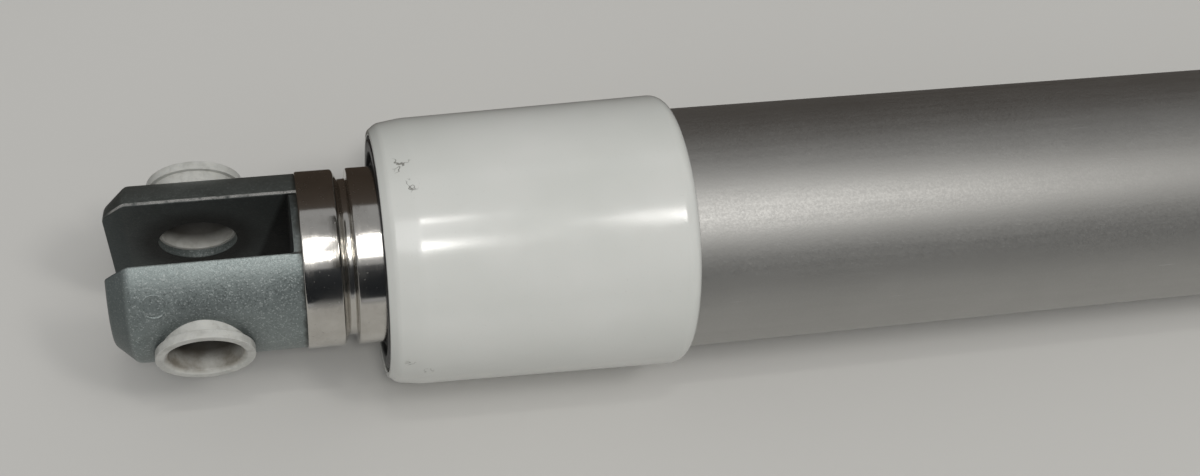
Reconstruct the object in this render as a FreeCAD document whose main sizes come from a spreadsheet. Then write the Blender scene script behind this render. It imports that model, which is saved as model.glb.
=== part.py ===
# Electric linear actuator: a worm-driven spindle pushes a forked steel tube out of a fixed tube.
# All sizes are in millimetres. The origin is the centre of the rear clevis bore, the fork
# points along -X, both clevis pins lie along Y, and +Z is up.

import FreeCAD
import Part
import Sketcher
import math
import os
from collections import namedtuple
from FreeCAD import Placement, Rotation, Vector

DRIVING_SIZES = {
    # travel, closed length and screw lead
    "stroke": 200.0,
    "length_beyond_stroke": 175.0,
    # clearances and broken edges
    "fine_chamfer": 0.3,
    "edge_chamfer": 0.4,
    "part_chamfer": 0.5,
    "bush_chamfer": 0.8,
    "thread_chamfer": 1.0,
    "end_gap_small": 0.2,
    "press_fit": 0.02,
    "running_fit": 0.05,
    "slide_fit": 0.1,
    "seat_gap": 0.3,
    # clevis ears, the same form at both ends
    "pin_radius": 5.0,
    "ear_radius": 12.25,
    "ear_tip_reach": 12.1,
    "ear_chamfer_length": 3.0,
    "ear_chamfer_depth": 2.8,
    "ear_edge_rounding": 1.2,
    "slot_width": 9.0,
    "slot_reach": 12.9,
    "slot_root_rounding": 0.4,
    "shoulder_reach": 13.85,
    # flanged bushes in the ears, each against a lip of the casting
    "ear_lip_radius": 5.4,
    "ear_lip_thickness": 1.3,
    "ear_bush_end_gap": 0.1,
    "ear_bush_wall": 1.05,
    "ear_bush_flange_radius": 6.7,
    "ear_bush_flange_thickness": 1.2,
    # piston tube and its rolled groove
    "piston_radius": 12.5,
    "piston_wall": 1.5,
    "crimp_reach": 19.0,
    "crimp_length": 1.9,
    "crimp_slope": 1.0,
    "crimp_depth": 1.45,
    "crimp_edge_rounding": 0.2,
    # shank of the fork inside the piston tube
    "shank_reach": 33.0,
    "shank_core_radius": 7.5,
    "shank_core_depth": 6.0,
    "shank_ring_reach": 27.0,
    # seal rings
    "seal_section": 1.5,
    "seal_room": 0.1,
    # outer tube
    "tube_radius": 17.5,
    "tube_wall": 2.0,
    # front cap
    "cap_reach": 24.6,
    "cap_length": 42.9,
    "cap_lip_depth": 4.4,
    "cap_opening_radius": 16.9,
    "cap_opening_edge": 0.35,
    "cap_front_radius": 18.94,
    "cap_nose_curve": 5.76,
    "cap_nose_length": 4.4,
    "cap_rear_radius": 19.7,
    "cap_rear_rounding": 2.0,
    # guide bush and wiper in the front of the tube
    "guide_reach": 24.5,
    "guide_head_radius": 16.4,
    "guide_head_length": 4.5,
    "guide_length": 38.5,
    "guide_seal_reach": 11.0,
    "wiper_depth": 3.0,
    "wiper_radius": 14.4,
    "wiper_reach": 1.0,
    "wiper_cover": 0.8,
    "wiper_rim": 1.0,
    "wiper_lip_length": 1.4,
    # spindle
    "spindle_radius": 7.0,
    "journal_radius": 6.5,
    "hub_seat_radius": 6.0,
    "hub_flat": 5.2,
    "tail_radius": 5.0,
    "journal_start": 19.0,
    # spindle front end: guide bush and the screw that holds it
    "end_bush_length": 8.0,
    "end_bush_bore": 5.0,
    "end_screw_head_radius": 6.8,
    "end_screw_head_thickness": 3.0,
    "end_screw_radius": 3.0,
    "end_screw_length": 14.0,
    "end_gap": 1.5,
    # nut on the spindle and the safety nut behind it
    "nut_collar_length": 16.0,
    "nut_spigot_length": 20.0,
    "nut_lead_in": 1.5,
    "safety_nut_thickness": 5.0,
    "safety_nut_radius": 13.0,
    "nut_stop_gap": 2.0,
    "nut_pin_radius": 2.0,
    "nut_pin_length": 5.5,
    "stop_ring_thickness": 4.0,
    "stop_ring_clearance": 0.6,
    # ball bearing behind the wheel, 12 x 28 x 8
    "bearing_reach": 23.0,
    "bearing_width": 8.0,
    "bearing_bore_radius": 6.0,
    "bearing_outer_radius": 14.0,
    "ball_circle_radius": 10.0,
    "ball_radius": 2.38,
    "ball_count": 8.0,
    "ball_clearance": 0.06,
    "race_shoulder": 1.35,
    "cage_thickness": 0.9,
    "cage_width": 5.6,
    # worm and wheel
    "tooth_module": 1.0,
    "wheel_teeth": 30.0,
    "worm_pitch_radius": 4.5,
    "tooth_addendum": 1.0,
    "tooth_dedendum": 1.25,
    "tooth_backlash": 0.3,
    "tooth_root_height": 0.45,
    "wheel_face": 10.0,
    "wheel_web": 5.0,
    "wheel_rim": 2.3,
    "wheel_hub_wall": 1.0,
    "worm_length": 18.0,
    "worm_collar_length": 3.0,
    # wheel hub
    "hub_length": 16.0,
    "hub_radius": 8.0,
    "hub_gap": 0.5,
    # lock nut behind the bearing
    "lock_nut_thickness": 4.0,
    "lock_nut_flats": 17.0,
    # rear clevis block, bearing plate, sleeves, screws and tube flange
    "block_radius": 16.9,
    "lug_offset": 20.5,
    "lug_radius": 5.0,
    "neck_radius": 14.5,
    "neck_slope": 0.6,
    "nut_pocket_radius": 10.5,
    "nut_pocket_reach": 18.2,
    "retainer_thickness": 1.5,
    "retainer_bore": 12.0,
    "sleeve_radius": 3.5,
    "tie_radius": 2.5,
    "tie_clearance": 0.2,
    "tie_head_radius": 4.0,
    "tie_head_length": 4.5,
    "tie_head_recess": 5.0,
    "flange_thickness": 6.5,
    "spigot_length": 10.0,
    "support_bush_wall": 1.9,
    "support_bush_lip": 1.0,
    "support_lip_radius": 10.5,
    "bumper_thickness": 3.0,
    # moulded housing, two shells that meet on the plane of the worm
    "shell_depth": 23.0,
    "shell_wall": 2.5,
    "shell_edge_rounding": 2.2,
    "foot_corner": 12.0,
    "end_corner": 8.0,
    "crown_corner": 10.0,
    "shoulder_corner": 12.0,
    "side_room": 0.5,
    "crown_room": 5.5,
    "motor_room": 1.0,
    "end_room": 9.5,
    "crown_slope_start": 14.0,
    "crown_slope_end": 32.0,
    "crown_slope_offset": 1.2,
    "tube_socket_gap": 0.3,
    "tube_socket_wall": 1.7,
    "neck_gap": 0.3,
    "bulkhead_thickness": 2.7,
    "rib_thickness": 2.5,
    "first_rib_place": 44.0,
    "second_rib_place": 78.0,
    "boss_radius": 4.6,
    "screw_radius": 1.9,
    "screw_head_radius": 3.4,
    "screw_head_length": 2.6,
    "screw_length": 30.0,
    "screw_recess": 4.0,
    # motor, on the worm's axis
    "motor_front": 33.2,
    "motor_radius": 18.0,
    "can_wall": 1.6,
    "can_length": 55.0,
    "end_plate_thickness": 2.8,
    "end_plate_boss": 7.0,
    "spigot_step": 2.0,
    "rear_cap_thickness": 3.0,
    "brush_ring_depth": 9.0,
    "brush_ring_bore": 9.5,
    "motor_bush_radius": 5.0,
    "motor_bush_length": 6.0,
    "motor_bush_recess": 1.2,
    "shaft_radius": 2.5,
    "shaft_cover": 1.5,
    "worm_shaft_radius": 2.0,
    "worm_shaft_end": 14.0,
    "shaft_tip": 18.5,
    "magnet_thickness": 3.4,
    "magnet_length": 38.0,
    "magnet_place": 42.0,
    "magnet_angle": 130.0,
    "air_gap": 0.6,
    "core_length": 32.0,
    "core_place": 45.0,
    "core_slots": 7.0,
    "slot_room_radius": 2.3,
    "slot_roof": 1.2,
    "winding_overhang": 4.2,
    "winding_inner_radius": 4.6,
    "winding_outer_radius": 11.0,
    "commutator_radius": 6.5,
    "commutator_length": 6.0,
    "commutator_place": 82.5,
    "brush_width": 4.0,
    "brush_length": 7.0,
    "brush_gap": 0.25,
    # bush at the worm's far end
    "end_bearing_radius": 6.0,
    "end_bearing_length": 5.0,
    "end_bearing_place": 14.0,
    "end_block_wall": 1.9,
    # sensor board and its magnet ring
    "magnet_ring_radius": 7.0,
    "magnet_ring_thickness": 3.0,
    "magnet_ring_place": 23.5,
    "board_thickness": 1.6,
    "board_bottom": 8.5,
    "board_top": 27.2,
    "board_hole": 4.5,
    "chip_size": 4.0,
    "chip_thickness": 1.2,
    "terminal_length": 24.0,
    "terminal_height": 5.0,
    "terminal_margin": 1.0,
    # power inlet under the motor
    "inlet_place": 62.0,
    "inlet_height": 10.5,
    "inlet_width": 17.6,
    "inlet_depth": 12.0,
    "inlet_tall": 8.6,
    "inlet_wall": 1.2,
    "inlet_setback": 0.2,
    "inlet_floor": 1.8,
    "inlet_flange": 1.7,
    "inlet_flange_thickness": 2.0,
    "contact_pitch": 6.0,
    "contact_radius": 0.8,
    "contact_length": 5.0,
    "contact_tail": 3.0,
}

FULL_TURN = 360.0
QUARTER_TURN = 90.0
OVERRUN = 1.0
PRESSURE_ANGLE = 20.0
FLOOR_SHARE = 0.75
FLANK_FULLNESS = 1.15
SHELL_SCREW_PLACES = {
    "crown": (-20.5, 26.5),
    "foot": (-21.5, -12.5),
    "slope": (25.5, 32.0),
    "middle": (28.0, -13.8),
    "end_low": (99.5, -12.5),
    "end_high": (99.5, 34.0),
}
WORM_TURNS = 5
THREAD_PHASE = 0.75


class Size:
    """A length kept both as a formula on the sheet of sizes and as its present number."""

    def __init__(self, formula, number):
        self.formula = formula
        self.number = number

    def joined(self, sign, other, number):
        return Size(f"({self.formula} {sign} {other.formula})", number)

    def __add__(self, other):
        other = as_size(other)
        return self.joined("+", other, self.number + other.number)

    def __sub__(self, other):
        other = as_size(other)
        return self.joined("-", other, self.number - other.number)

    def __mul__(self, other):
        other = as_size(other)
        return self.joined("*", other, self.number * other.number)

    def __truediv__(self, other):
        other = as_size(other)
        return self.joined("/", other, self.number / other.number)

    def __radd__(self, other):
        return as_size(other) + self

    def __rsub__(self, other):
        return as_size(other) - self

    def __rmul__(self, other):
        return as_size(other) * self

    def __rtruediv__(self, other):
        return as_size(other) / self

    def __neg__(self):
        return as_size(0.0) - self


def as_size(value):
    """A plain number as a Size, so that it can stand in a formula."""
    if isinstance(value, Size):
        return value
    return Size(repr(float(value)), float(value))


def root(value):
    return Size(f"sqrt({value.formula})", math.sqrt(value.number))


def tangent(degrees):
    degrees = as_size(degrees)
    return Size(f"tan({degrees.formula})", math.tan(math.radians(degrees.number)))


def arc_cosine(ratio):
    """The angle in degrees, without its unit."""
    return Size(f"(acos({ratio.formula}) / 1 deg)", math.degrees(math.acos(ratio.number)))


class SizeSheet:
    """The spreadsheet that holds the driving sizes. Each alias is an attribute that gives a Size."""

    def __init__(self, document, sizes):
        self.sheet = document.addObject("Spreadsheet::Sheet", "Sizes")
        for row, (alias, value) in enumerate(sizes.items(), start=1):
            self.sheet.set(f"A{row}", alias.replace("_", " "))
            self.sheet.set(f"B{row}", str(value))
            self.sheet.setAlias(f"B{row}", alias)
        document.recompute()

    def __getattr__(self, alias):
        return Size(f"Sizes.{alias}", float(self.sheet.get(alias)))


Corner = namedtuple("Corner", "across up rounding bulge")


def corner(across, up, rounding=None, bulge=None):
    """A corner of an outline. A bulge is the radius of the arc that runs on from it."""
    return Corner(as_size(across), as_size(up), rounding, bulge)


doc = FreeCAD.newDocument("LinearActuator")
size = SizeSheet(doc, DRIVING_SIZES)
nodes = []


def origin_feature(body, role):
    return [feature for feature in body.Origin.OriginFeatures if feature.Role == role][0]


def new_body(label, place=(0.0, 0.0, 0.0), turn=0.0, listed=True):
    """An empty body at a bound place, turned about Z. A listed body is a node of its own."""
    body = doc.addObject("PartDesign::Body", label)
    body.Label = label
    body.AllowCompound = True
    body.Placement = Placement(Vector(), Rotation(Vector(0, 0, 1), turn))
    for axis, value in zip("xyz", place):
        body.setExpression(f"Placement.Base.{axis}", as_size(value).formula)
    if listed:
        nodes.append(body)
    return body


def new_sketch(body, plane, lift=None, rise=None, spin=None):
    """A sketch on one of the body's planes, lifted off it, raised within it or spun about its normal."""
    sketch = body.newObject("Sketcher::SketchObject", f"{body.Label}_sketch")
    sketch.AttachmentSupport = (origin_feature(body, plane), [""])
    sketch.MapMode = "FlatFace"
    if lift is not None:
        sketch.setExpression("AttachmentOffset.Base.z", as_size(lift).formula)
    if rise is not None:
        sketch.setExpression("AttachmentOffset.Base.y", as_size(rise).formula)
    if spin is not None:
        sketch.setExpression("AttachmentOffset.Rotation.Angle", as_size(spin).formula)
    return sketch


def bind(sketch, kind, elements, value):
    """A constraint whose value is a formula on the sheet."""
    index = sketch.addConstraint(Sketcher.Constraint(kind, *elements, value.number))
    sketch.setExpression(f"Constraints[{index}]", value.formula)


def pin_point(sketch, geometry, point, across, up):
    bind(sketch, "DistanceX", (-1, 1, geometry, point), across)
    bind(sketch, "DistanceY", (-1, 1, geometry, point), up)


def flat_point(spot):
    return Vector(spot.across.number, spot.up.number, 0)


def bulge_centre(start, end, radius):
    """The centre of an arc of this radius from start to end. A negative radius swaps its side."""
    chord = end - start
    side = Vector(-chord.y, chord.x, 0).normalize()
    height = math.sqrt(max(radius * radius - chord.Length * chord.Length / 4, 0.0))
    return (start + end) * 0.5 + side * math.copysign(height, radius)


def counter_clockwise_arc(centre, radius, start, end):
    """The short arc between two points, and which of its ends is the start."""
    first = math.atan2(start.y - centre.y, start.x - centre.x)
    last = math.atan2(end.y - centre.y, end.x - centre.x)
    sweep = (last - first) % (2 * math.pi)
    circle = Part.Circle(centre, Vector(0, 0, 1), radius)
    if sweep < math.pi:
        return Part.ArcOfCircle(circle, first, first + sweep), 1, 2
    return Part.ArcOfCircle(circle, last, last + 2 * math.pi - sweep), 2, 1


def rounded_spot(before, at, after, radius):
    """Where a corner's arc of this radius starts and ends, and its centre."""
    inward = (before - at).normalize()
    outward = (after - at).normalize()
    half = inward.getAngle(outward) / 2
    reach = radius / math.tan(half)
    middle = (inward + outward).normalize()
    return at + inward * reach, at + outward * reach, at + middle * (radius / math.sin(half))


def draw_outline(sketch, corners):
    """A closed outline through the corners, with rounded corners and bulged sides where asked."""
    count = len(corners)
    points = [flat_point(spot) for spot in corners]
    leave = list(points)
    arrive = list(points)
    arcs = {}
    for i, spot in enumerate(corners):
        if spot.rounding is not None:
            after = points[(i + 1) % count]
            start, end, centre = rounded_spot(points[i - 1], points[i], after, spot.rounding.number)
            arrive[i] = start
            leave[i] = end
            arcs[i] = counter_clockwise_arc(centre, spot.rounding.number, start, end)
    sides = []
    for i, spot in enumerate(corners):
        after = (i + 1) % count
        if spot.bulge is not None:
            centre = bulge_centre(points[i], points[after], spot.bulge.number)
            arc, first, last = counter_clockwise_arc(centre, abs(spot.bulge.number), points[i], points[after])
            sides.append((sketch.addGeometry(arc), first, last))
        else:
            sides.append((sketch.addGeometry(Part.LineSegment(leave[i], arrive[after])), 1, 2))
    for i, spot in enumerate(corners):
        side_in, _, end_in = sides[i - 1]
        side_out, start_out, _ = sides[i]
        if spot.rounding is None:
            sketch.addConstraint(Sketcher.Constraint("Coincident", side_in, end_in, side_out, start_out))
            pin_point(sketch, side_out, start_out, spot.across, spot.up)
        else:
            arc, first, last = arcs[i]
            arc_index = sketch.addGeometry(arc)
            sketch.addConstraint(Sketcher.Constraint("Tangent", side_in, end_in, arc_index, first))
            sketch.addConstraint(Sketcher.Constraint("Tangent", side_out, start_out, arc_index, last))
            tip = sketch.addGeometry(Part.Point(points[i]), True)
            pin_point(sketch, tip, 1, spot.across, spot.up)
            sketch.addConstraint(Sketcher.Constraint("PointOnObject", tip, 1, side_in))
            sketch.addConstraint(Sketcher.Constraint("PointOnObject", tip, 1, side_out))
            bind(sketch, "Radius", (arc_index,), spot.rounding)
        if spot.bulge is not None:
            bind(sketch, "Radius", (side_out,), as_size(spot.bulge) if spot.bulge.number > 0 else -spot.bulge)


def draw_circle(sketch, across, up, radius):
    across = as_size(across)
    up = as_size(up)
    centre = Vector(across.number, up.number, 0)
    circle = sketch.addGeometry(Part.Circle(centre, Vector(0, 0, 1), radius.number))
    pin_point(sketch, circle, 3, across, up)
    bind(sketch, "Radius", (circle,), radius)


def draw_box(sketch, left, bottom, right, top):
    draw_outline(sketch, [corner(left, bottom), corner(right, bottom), corner(right, top), corner(left, top)])


def add_feature(body, kind, sketch, changes):
    """A feature on a sketch that must change the body's volume the way its kind says."""
    before = body.Shape.Volume if body.Tip else 0.0
    feature = body.newObject(f"PartDesign::{kind}", f"{body.Label}_{kind.lower()}")
    feature.Profile = sketch
    for name, value in changes.items():
        if isinstance(value, Size):
            feature.setExpression(name, value.formula)
        else:
            setattr(feature, name, value)
    doc.recompute()
    removes = kind in ("Pocket", "Groove", "SubtractiveLoft")
    change = body.Shape.Volume - before
    if (removes and change > -1e-6) or (not removes and change < 1e-6):
        raise ValueError(f"{feature.Name} left the volume of {body.Label} as it was")
    return feature


def pad(body, sketch, length, along=1, centred=False):
    return add_feature(body, "Pad", sketch, {"Length": length, "Reversed": along < 0, "Midplane": centred})


def pocket(body, sketch, length, along=1, centred=False):
    return add_feature(body, "Pocket", sketch, {"Length": length, "Reversed": along > 0, "Midplane": centred})


def turn_profile(body, corners, kind="Revolution", plane="XY_Plane", rise=None, angle=FULL_TURN):
    """Turns a closed profile of distance along the axis and radius about the sketch's own X axis."""
    sketch = new_sketch(body, plane, rise=rise)
    draw_outline(sketch, corners)
    return add_feature(body, kind, sketch, {"ReferenceAxis": (sketch, ["H_Axis"]), "Angle": angle})


def turned(label, corners, place=(0.0, 0.0, 0.0), turn=0.0, listed=True):
    body = new_body(label, place, turn, listed)
    turn_profile(body, corners)
    return body


def ring(start, end, inner, outer, chamfer=None):
    """The profile of a plain ring, with its outer edges broken where a chamfer is given."""
    if chamfer is None:
        return [corner(start, inner), corner(start, outer), corner(end, outer), corner(end, inner)]
    return [
        corner(start, inner),
        corner(start, outer - chamfer),
        corner(start + chamfer, outer),
        corner(end - chamfer, outer),
        corner(end, outer - chamfer),
        corner(end, inner),
    ]


def drill(body, plane, holes, length, lift=None, along=1, centred=False):
    """Round holes given as places across and up the plane with a radius."""
    sketch = new_sketch(body, plane, lift)
    for across, up, radius in holes:
        draw_circle(sketch, across, up, radius)
    return pocket(body, sketch, length, along, centred)


def repeat_about_x(body, feature, count):
    pattern = body.newObject("PartDesign::PolarPattern", f"{body.Label}_pattern")
    pattern.Originals = [feature]
    pattern.Axis = (origin_feature(body, "X_Axis"), [""])
    pattern.Angle = FULL_TURN
    pattern.setExpression("Occurrences", count.formula)
    body.Tip = pattern
    doc.recompute()


def round_edges(body, radius, wanted):
    """Rounds the edges whose two ends pass a test on their places in the body."""
    names = []
    for number, edge in enumerate(body.Tip.Shape.Edges, start=1):
        if all(wanted(vertex.Point) for vertex in edge.Vertexes):
            names.append(f"Edge{number}")
    fillet = body.newObject("PartDesign::Fillet", f"{body.Label}_fillet")
    fillet.Base = (body.Group[-2], names)
    fillet.setExpression("Radius", radius.formula)
    doc.recompute()


def group(label, members):
    """Identical loose pieces that share one node."""
    compound = doc.addObject("Part::Compound", label)
    compound.Label = label
    compound.Links = members
    nodes.append(compound)
    return compound


# Places along X, from the rear bore forwards
closed_length = size.stroke + size.length_beyond_stroke
fork_x = -closed_length
piston_front_x = fork_x + size.shoulder_reach
cap_front_x = fork_x + size.cap_reach
guide_front_x = fork_x + size.guide_reach
tube_front_x = cap_front_x + size.cap_lip_depth
bearing_rear_x = -size.bearing_reach
bearing_front_x = bearing_rear_x - size.bearing_width
retainer_front_x = bearing_front_x - size.retainer_thickness
wheel_x = bearing_front_x - size.hub_length / 2
hub_front_x = bearing_front_x - size.hub_length
flange_rear_x = hub_front_x - size.hub_gap
flange_front_x = flange_rear_x - size.flange_thickness
spigot_front_x = flange_front_x - size.spigot_length
housing_rear_x = wheel_x + size.shell_depth
block_rear_x = housing_rear_x - size.shell_wall - size.seat_gap
bumper_front_x = spigot_front_x - size.bumper_thickness
nut_rear_x = bumper_front_x - size.nut_stop_gap
nut_collar_rear_x = nut_rear_x - size.safety_nut_thickness
piston_rear_x = nut_collar_rear_x - size.nut_collar_length
screw_head_x = fork_x + size.shank_reach + size.end_gap
thread_front_x = screw_head_x + size.end_screw_head_thickness + size.end_bush_length

# Radii that several pieces share
ear_bush_bore = size.pin_radius + size.running_fit
ear_bush_neck = ear_bush_bore + size.ear_bush_wall
piston_bore = size.piston_radius - size.piston_wall
tube_bore = size.tube_radius - size.tube_wall
shank_radius = piston_bore - size.press_fit
wheel_pitch_radius = size.tooth_module * size.wheel_teeth / 2
wheel_tip_radius = wheel_pitch_radius + size.tooth_addendum
wheel_root_radius = wheel_pitch_radius - size.tooth_dedendum
worm_height = wheel_pitch_radius + size.worm_pitch_radius
worm_tip_radius = size.worm_pitch_radius + size.tooth_addendum
worm_root_radius = size.worm_pitch_radius - size.tooth_dedendum
worm_lead = size.tooth_module * math.pi
seal_groove = size.seal_section + size.seal_room


def clevis_profile():
    """The outer profile of the ears, from the tip's centre to the shoulder."""
    tip = -size.ear_tip_reach
    return [
        corner(tip, 0.0),
        corner(tip, size.ear_radius - size.ear_chamfer_depth, size.ear_edge_rounding),
        corner(tip + size.ear_chamfer_length, size.ear_radius, size.ear_edge_rounding),
    ]


def cut_clevis(body):
    """The open slot between the ears, and the hole for the bushes across them."""
    tip = -size.ear_tip_reach - OVERRUN
    half = size.slot_width / 2
    slot = new_sketch(body, "XY_Plane")
    root_rounding = size.slot_root_rounding
    slot_corners = [
        corner(tip, -half),
        corner(size.slot_reach, -half, root_rounding),
        corner(size.slot_reach, half, root_rounding),
        corner(tip, half),
    ]
    draw_outline(slot, slot_corners)
    pocket(body, slot, size.ear_radius * 2 + OVERRUN * 2, centred=True)
    across_both = size.ear_radius * 2 + OVERRUN * 2
    drill(body, "XZ_Plane", [(0.0, 0.0, size.ear_lip_radius)], across_both, centred=True)
    bush_hole = ear_bush_neck + size.press_fit
    lip_back = half + size.ear_lip_thickness
    for side in (1, -1):
        drill(body, "XZ_Plane", [(0.0, 0.0, bush_hole)], size.ear_radius, lift=lip_back * side, along=side)


def make_fork_head():
    """The die-cast fork with its shank, which the rolled groove of the piston tube grips."""
    groove_radius = shank_radius - size.crimp_depth
    seal_radius = shank_radius - seal_groove
    lead_in = 0.8
    core_start = size.shank_reach - size.shank_core_depth
    profile = clevis_profile() + [
        corner(size.shoulder_reach, size.ear_radius),
        corner(size.shoulder_reach, shank_radius),
        corner(size.crimp_reach, shank_radius),
        corner(size.crimp_reach + size.crimp_slope, groove_radius),
        corner(size.crimp_reach + size.crimp_length, groove_radius),
        corner(size.crimp_reach + size.crimp_length, shank_radius),
        corner(size.shank_ring_reach, shank_radius),
        corner(size.shank_ring_reach, seal_radius),
        corner(size.shank_ring_reach + seal_groove, seal_radius),
        corner(size.shank_ring_reach + seal_groove, shank_radius),
        corner(size.shank_reach - lead_in, shank_radius),
        corner(size.shank_reach, shank_radius - lead_in),
        corner(size.shank_reach, size.shank_core_radius),
        corner(core_start, size.shank_core_radius),
        corner(core_start, 0.0),
    ]
    body = turned("fork_head", profile, (fork_x, 0.0, 0.0))
    cut_clevis(body)


def make_ear_bush(label, centre_x, side):
    """A flanged bush in one ear. Its axis runs outwards along Y."""
    inner = size.slot_width / 2 + size.ear_lip_thickness + size.ear_bush_end_gap
    flange_back = size.ear_radius + size.running_fit
    flange_face = flange_back + size.ear_bush_flange_thickness
    chamfer = size.fine_chamfer
    profile = [
        corner(inner, ear_bush_bore),
        corner(inner, ear_bush_neck),
        corner(flange_back, ear_bush_neck),
        corner(flange_back, size.ear_bush_flange_radius),
        corner(flange_face - chamfer, size.ear_bush_flange_radius),
        corner(flange_face, size.ear_bush_flange_radius - chamfer),
        corner(flange_face, ear_bush_bore),
    ]
    turned(label, profile, (centre_x, 0.0, 0.0), QUARTER_TURN * side)


def make_seal(label, start_x, outer):
    """A square-cut rubber seal in its groove."""
    width = size.seal_section
    turned(label, ring(0.0, width, outer - width, outer), (start_x + size.seal_room / 2, 0.0, 0.0))


def make_piston_tube():
    """The polished tube, with the rolled groove that locks it to the fork."""
    length = piston_rear_x - piston_front_x
    groove_start = size.crimp_reach - size.shoulder_reach
    groove_slope = groove_start + size.crimp_slope
    groove_end = groove_start + size.crimp_length
    groove_outer = size.piston_radius - size.crimp_depth
    groove_inner = piston_bore - size.crimp_depth
    pressed_wall = 0.15
    profile = [
        corner(0.0, piston_bore),
        corner(0.0, size.piston_radius - size.fine_chamfer, size.crimp_edge_rounding),
        corner(size.fine_chamfer, size.piston_radius, size.crimp_edge_rounding),
        corner(groove_start, size.piston_radius),
        corner(groove_slope, groove_outer),
        corner(groove_end, groove_outer),
        corner(groove_end, size.piston_radius),
        corner(length, size.piston_radius),
        corner(length, piston_bore),
        corner(groove_end - pressed_wall, piston_bore),
        corner(groove_end - pressed_wall, groove_inner),
        corner(groove_slope + pressed_wall, groove_inner),
        corner(groove_start + pressed_wall, piston_bore),
    ]
    body = turned("piston_tube", profile, (piston_front_x, 0.0, 0.0))
    pin_place = length - size.nut_spigot_length / 2
    pin_hole = size.nut_pin_radius + size.press_fit
    drill(body, "XZ_Plane", [(pin_place, 0.0, pin_hole)], size.piston_radius * 2 + OVERRUN * 2, centred=True)


def make_nut():
    """The plastic drive nut: a spigot in the piston tube and a collar that slides in the outer tube."""
    collar_radius = tube_bore - size.slide_fit
    bore = size.spindle_radius + size.running_fit
    spigot_radius = piston_bore - size.press_fit
    lead = size.nut_lead_in
    profile = [
        corner(-size.nut_spigot_length, bore),
        corner(-size.nut_spigot_length, spigot_radius - lead),
        corner(lead - size.nut_spigot_length, spigot_radius),
        corner(0.0, spigot_radius),
        corner(0.0, collar_radius - lead),
        corner(lead, collar_radius),
        corner(size.nut_collar_length - lead, collar_radius),
        corner(size.nut_collar_length, collar_radius - lead),
        corner(size.nut_collar_length, bore),
    ]
    body = turned("spindle_nut", profile, (piston_rear_x, 0.0, 0.0))
    pin_hole = size.nut_pin_radius + size.press_fit
    pin_place = -size.nut_spigot_length / 2
    depth = size.piston_radius - size.nut_pin_length - size.end_gap_small
    for side in (1, -1):
        sketch = new_sketch(body, "XZ_Plane", lift=depth * side)
        draw_circle(sketch, pin_place, 0.0, pin_hole)
        pocket(body, sketch, size.piston_radius, along=side)


def make_nut_pins():
    pins = []
    for side in (1, -1):
        start = size.piston_radius - size.nut_pin_length
        centre = piston_rear_x - size.nut_spigot_length / 2
        end = size.piston_radius - size.slide_fit
        profile = ring(start, end, 0.0, size.nut_pin_radius, size.fine_chamfer)
        label = f"nut_pin_{len(pins) + 1}"
        pins.append(turned(label, profile, (centre, 0.0, 0.0), QUARTER_TURN * side, listed=False))
    group("nut_pins", pins)


def make_piston_small_parts():
    """The safety nut behind the drive nut, and the rubber stop ring in front of its collar."""
    bore = size.spindle_radius + size.slide_fit
    safety = ring(0.0, size.safety_nut_thickness, bore, size.safety_nut_radius, size.bush_chamfer)
    turned("safety_nut", safety, (nut_collar_rear_x, 0.0, 0.0))
    stop_bore = size.piston_radius + size.press_fit
    stop_outer = tube_bore - size.stop_ring_clearance
    stop = ring(-size.stop_ring_thickness, -size.running_fit, stop_bore, stop_outer, size.part_chamfer)
    turned("stop_ring", stop, (piston_rear_x, 0.0, 0.0))
    make_seal("fork_seal", fork_x + size.shank_ring_reach, shank_radius)


def make_outer_tube():
    length = flange_front_x - tube_front_x
    wall_section = ring(0.0, length, tube_bore, size.tube_radius, size.edge_chamfer)
    turned("outer_tube", wall_section, (tube_front_x, 0.0, 0.0))


def make_front_cap():
    """The moulded cap: a rounded nose, a slight draft, and a lip over the end of the tube."""
    bore = size.tube_radius + size.press_fit
    profile = [
        corner(0.0, size.cap_opening_radius),
        corner(0.0, size.cap_opening_radius + size.cap_opening_edge, bulge=-size.cap_nose_curve),
        corner(size.cap_nose_length, size.cap_front_radius),
        corner(size.cap_length, size.cap_rear_radius, size.cap_rear_rounding),
        corner(size.cap_length, bore),
        corner(size.cap_lip_depth, bore),
        corner(size.cap_lip_depth, size.cap_opening_radius),
    ]
    turned("front_cap", profile, (cap_front_x, 0.0, 0.0))


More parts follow.
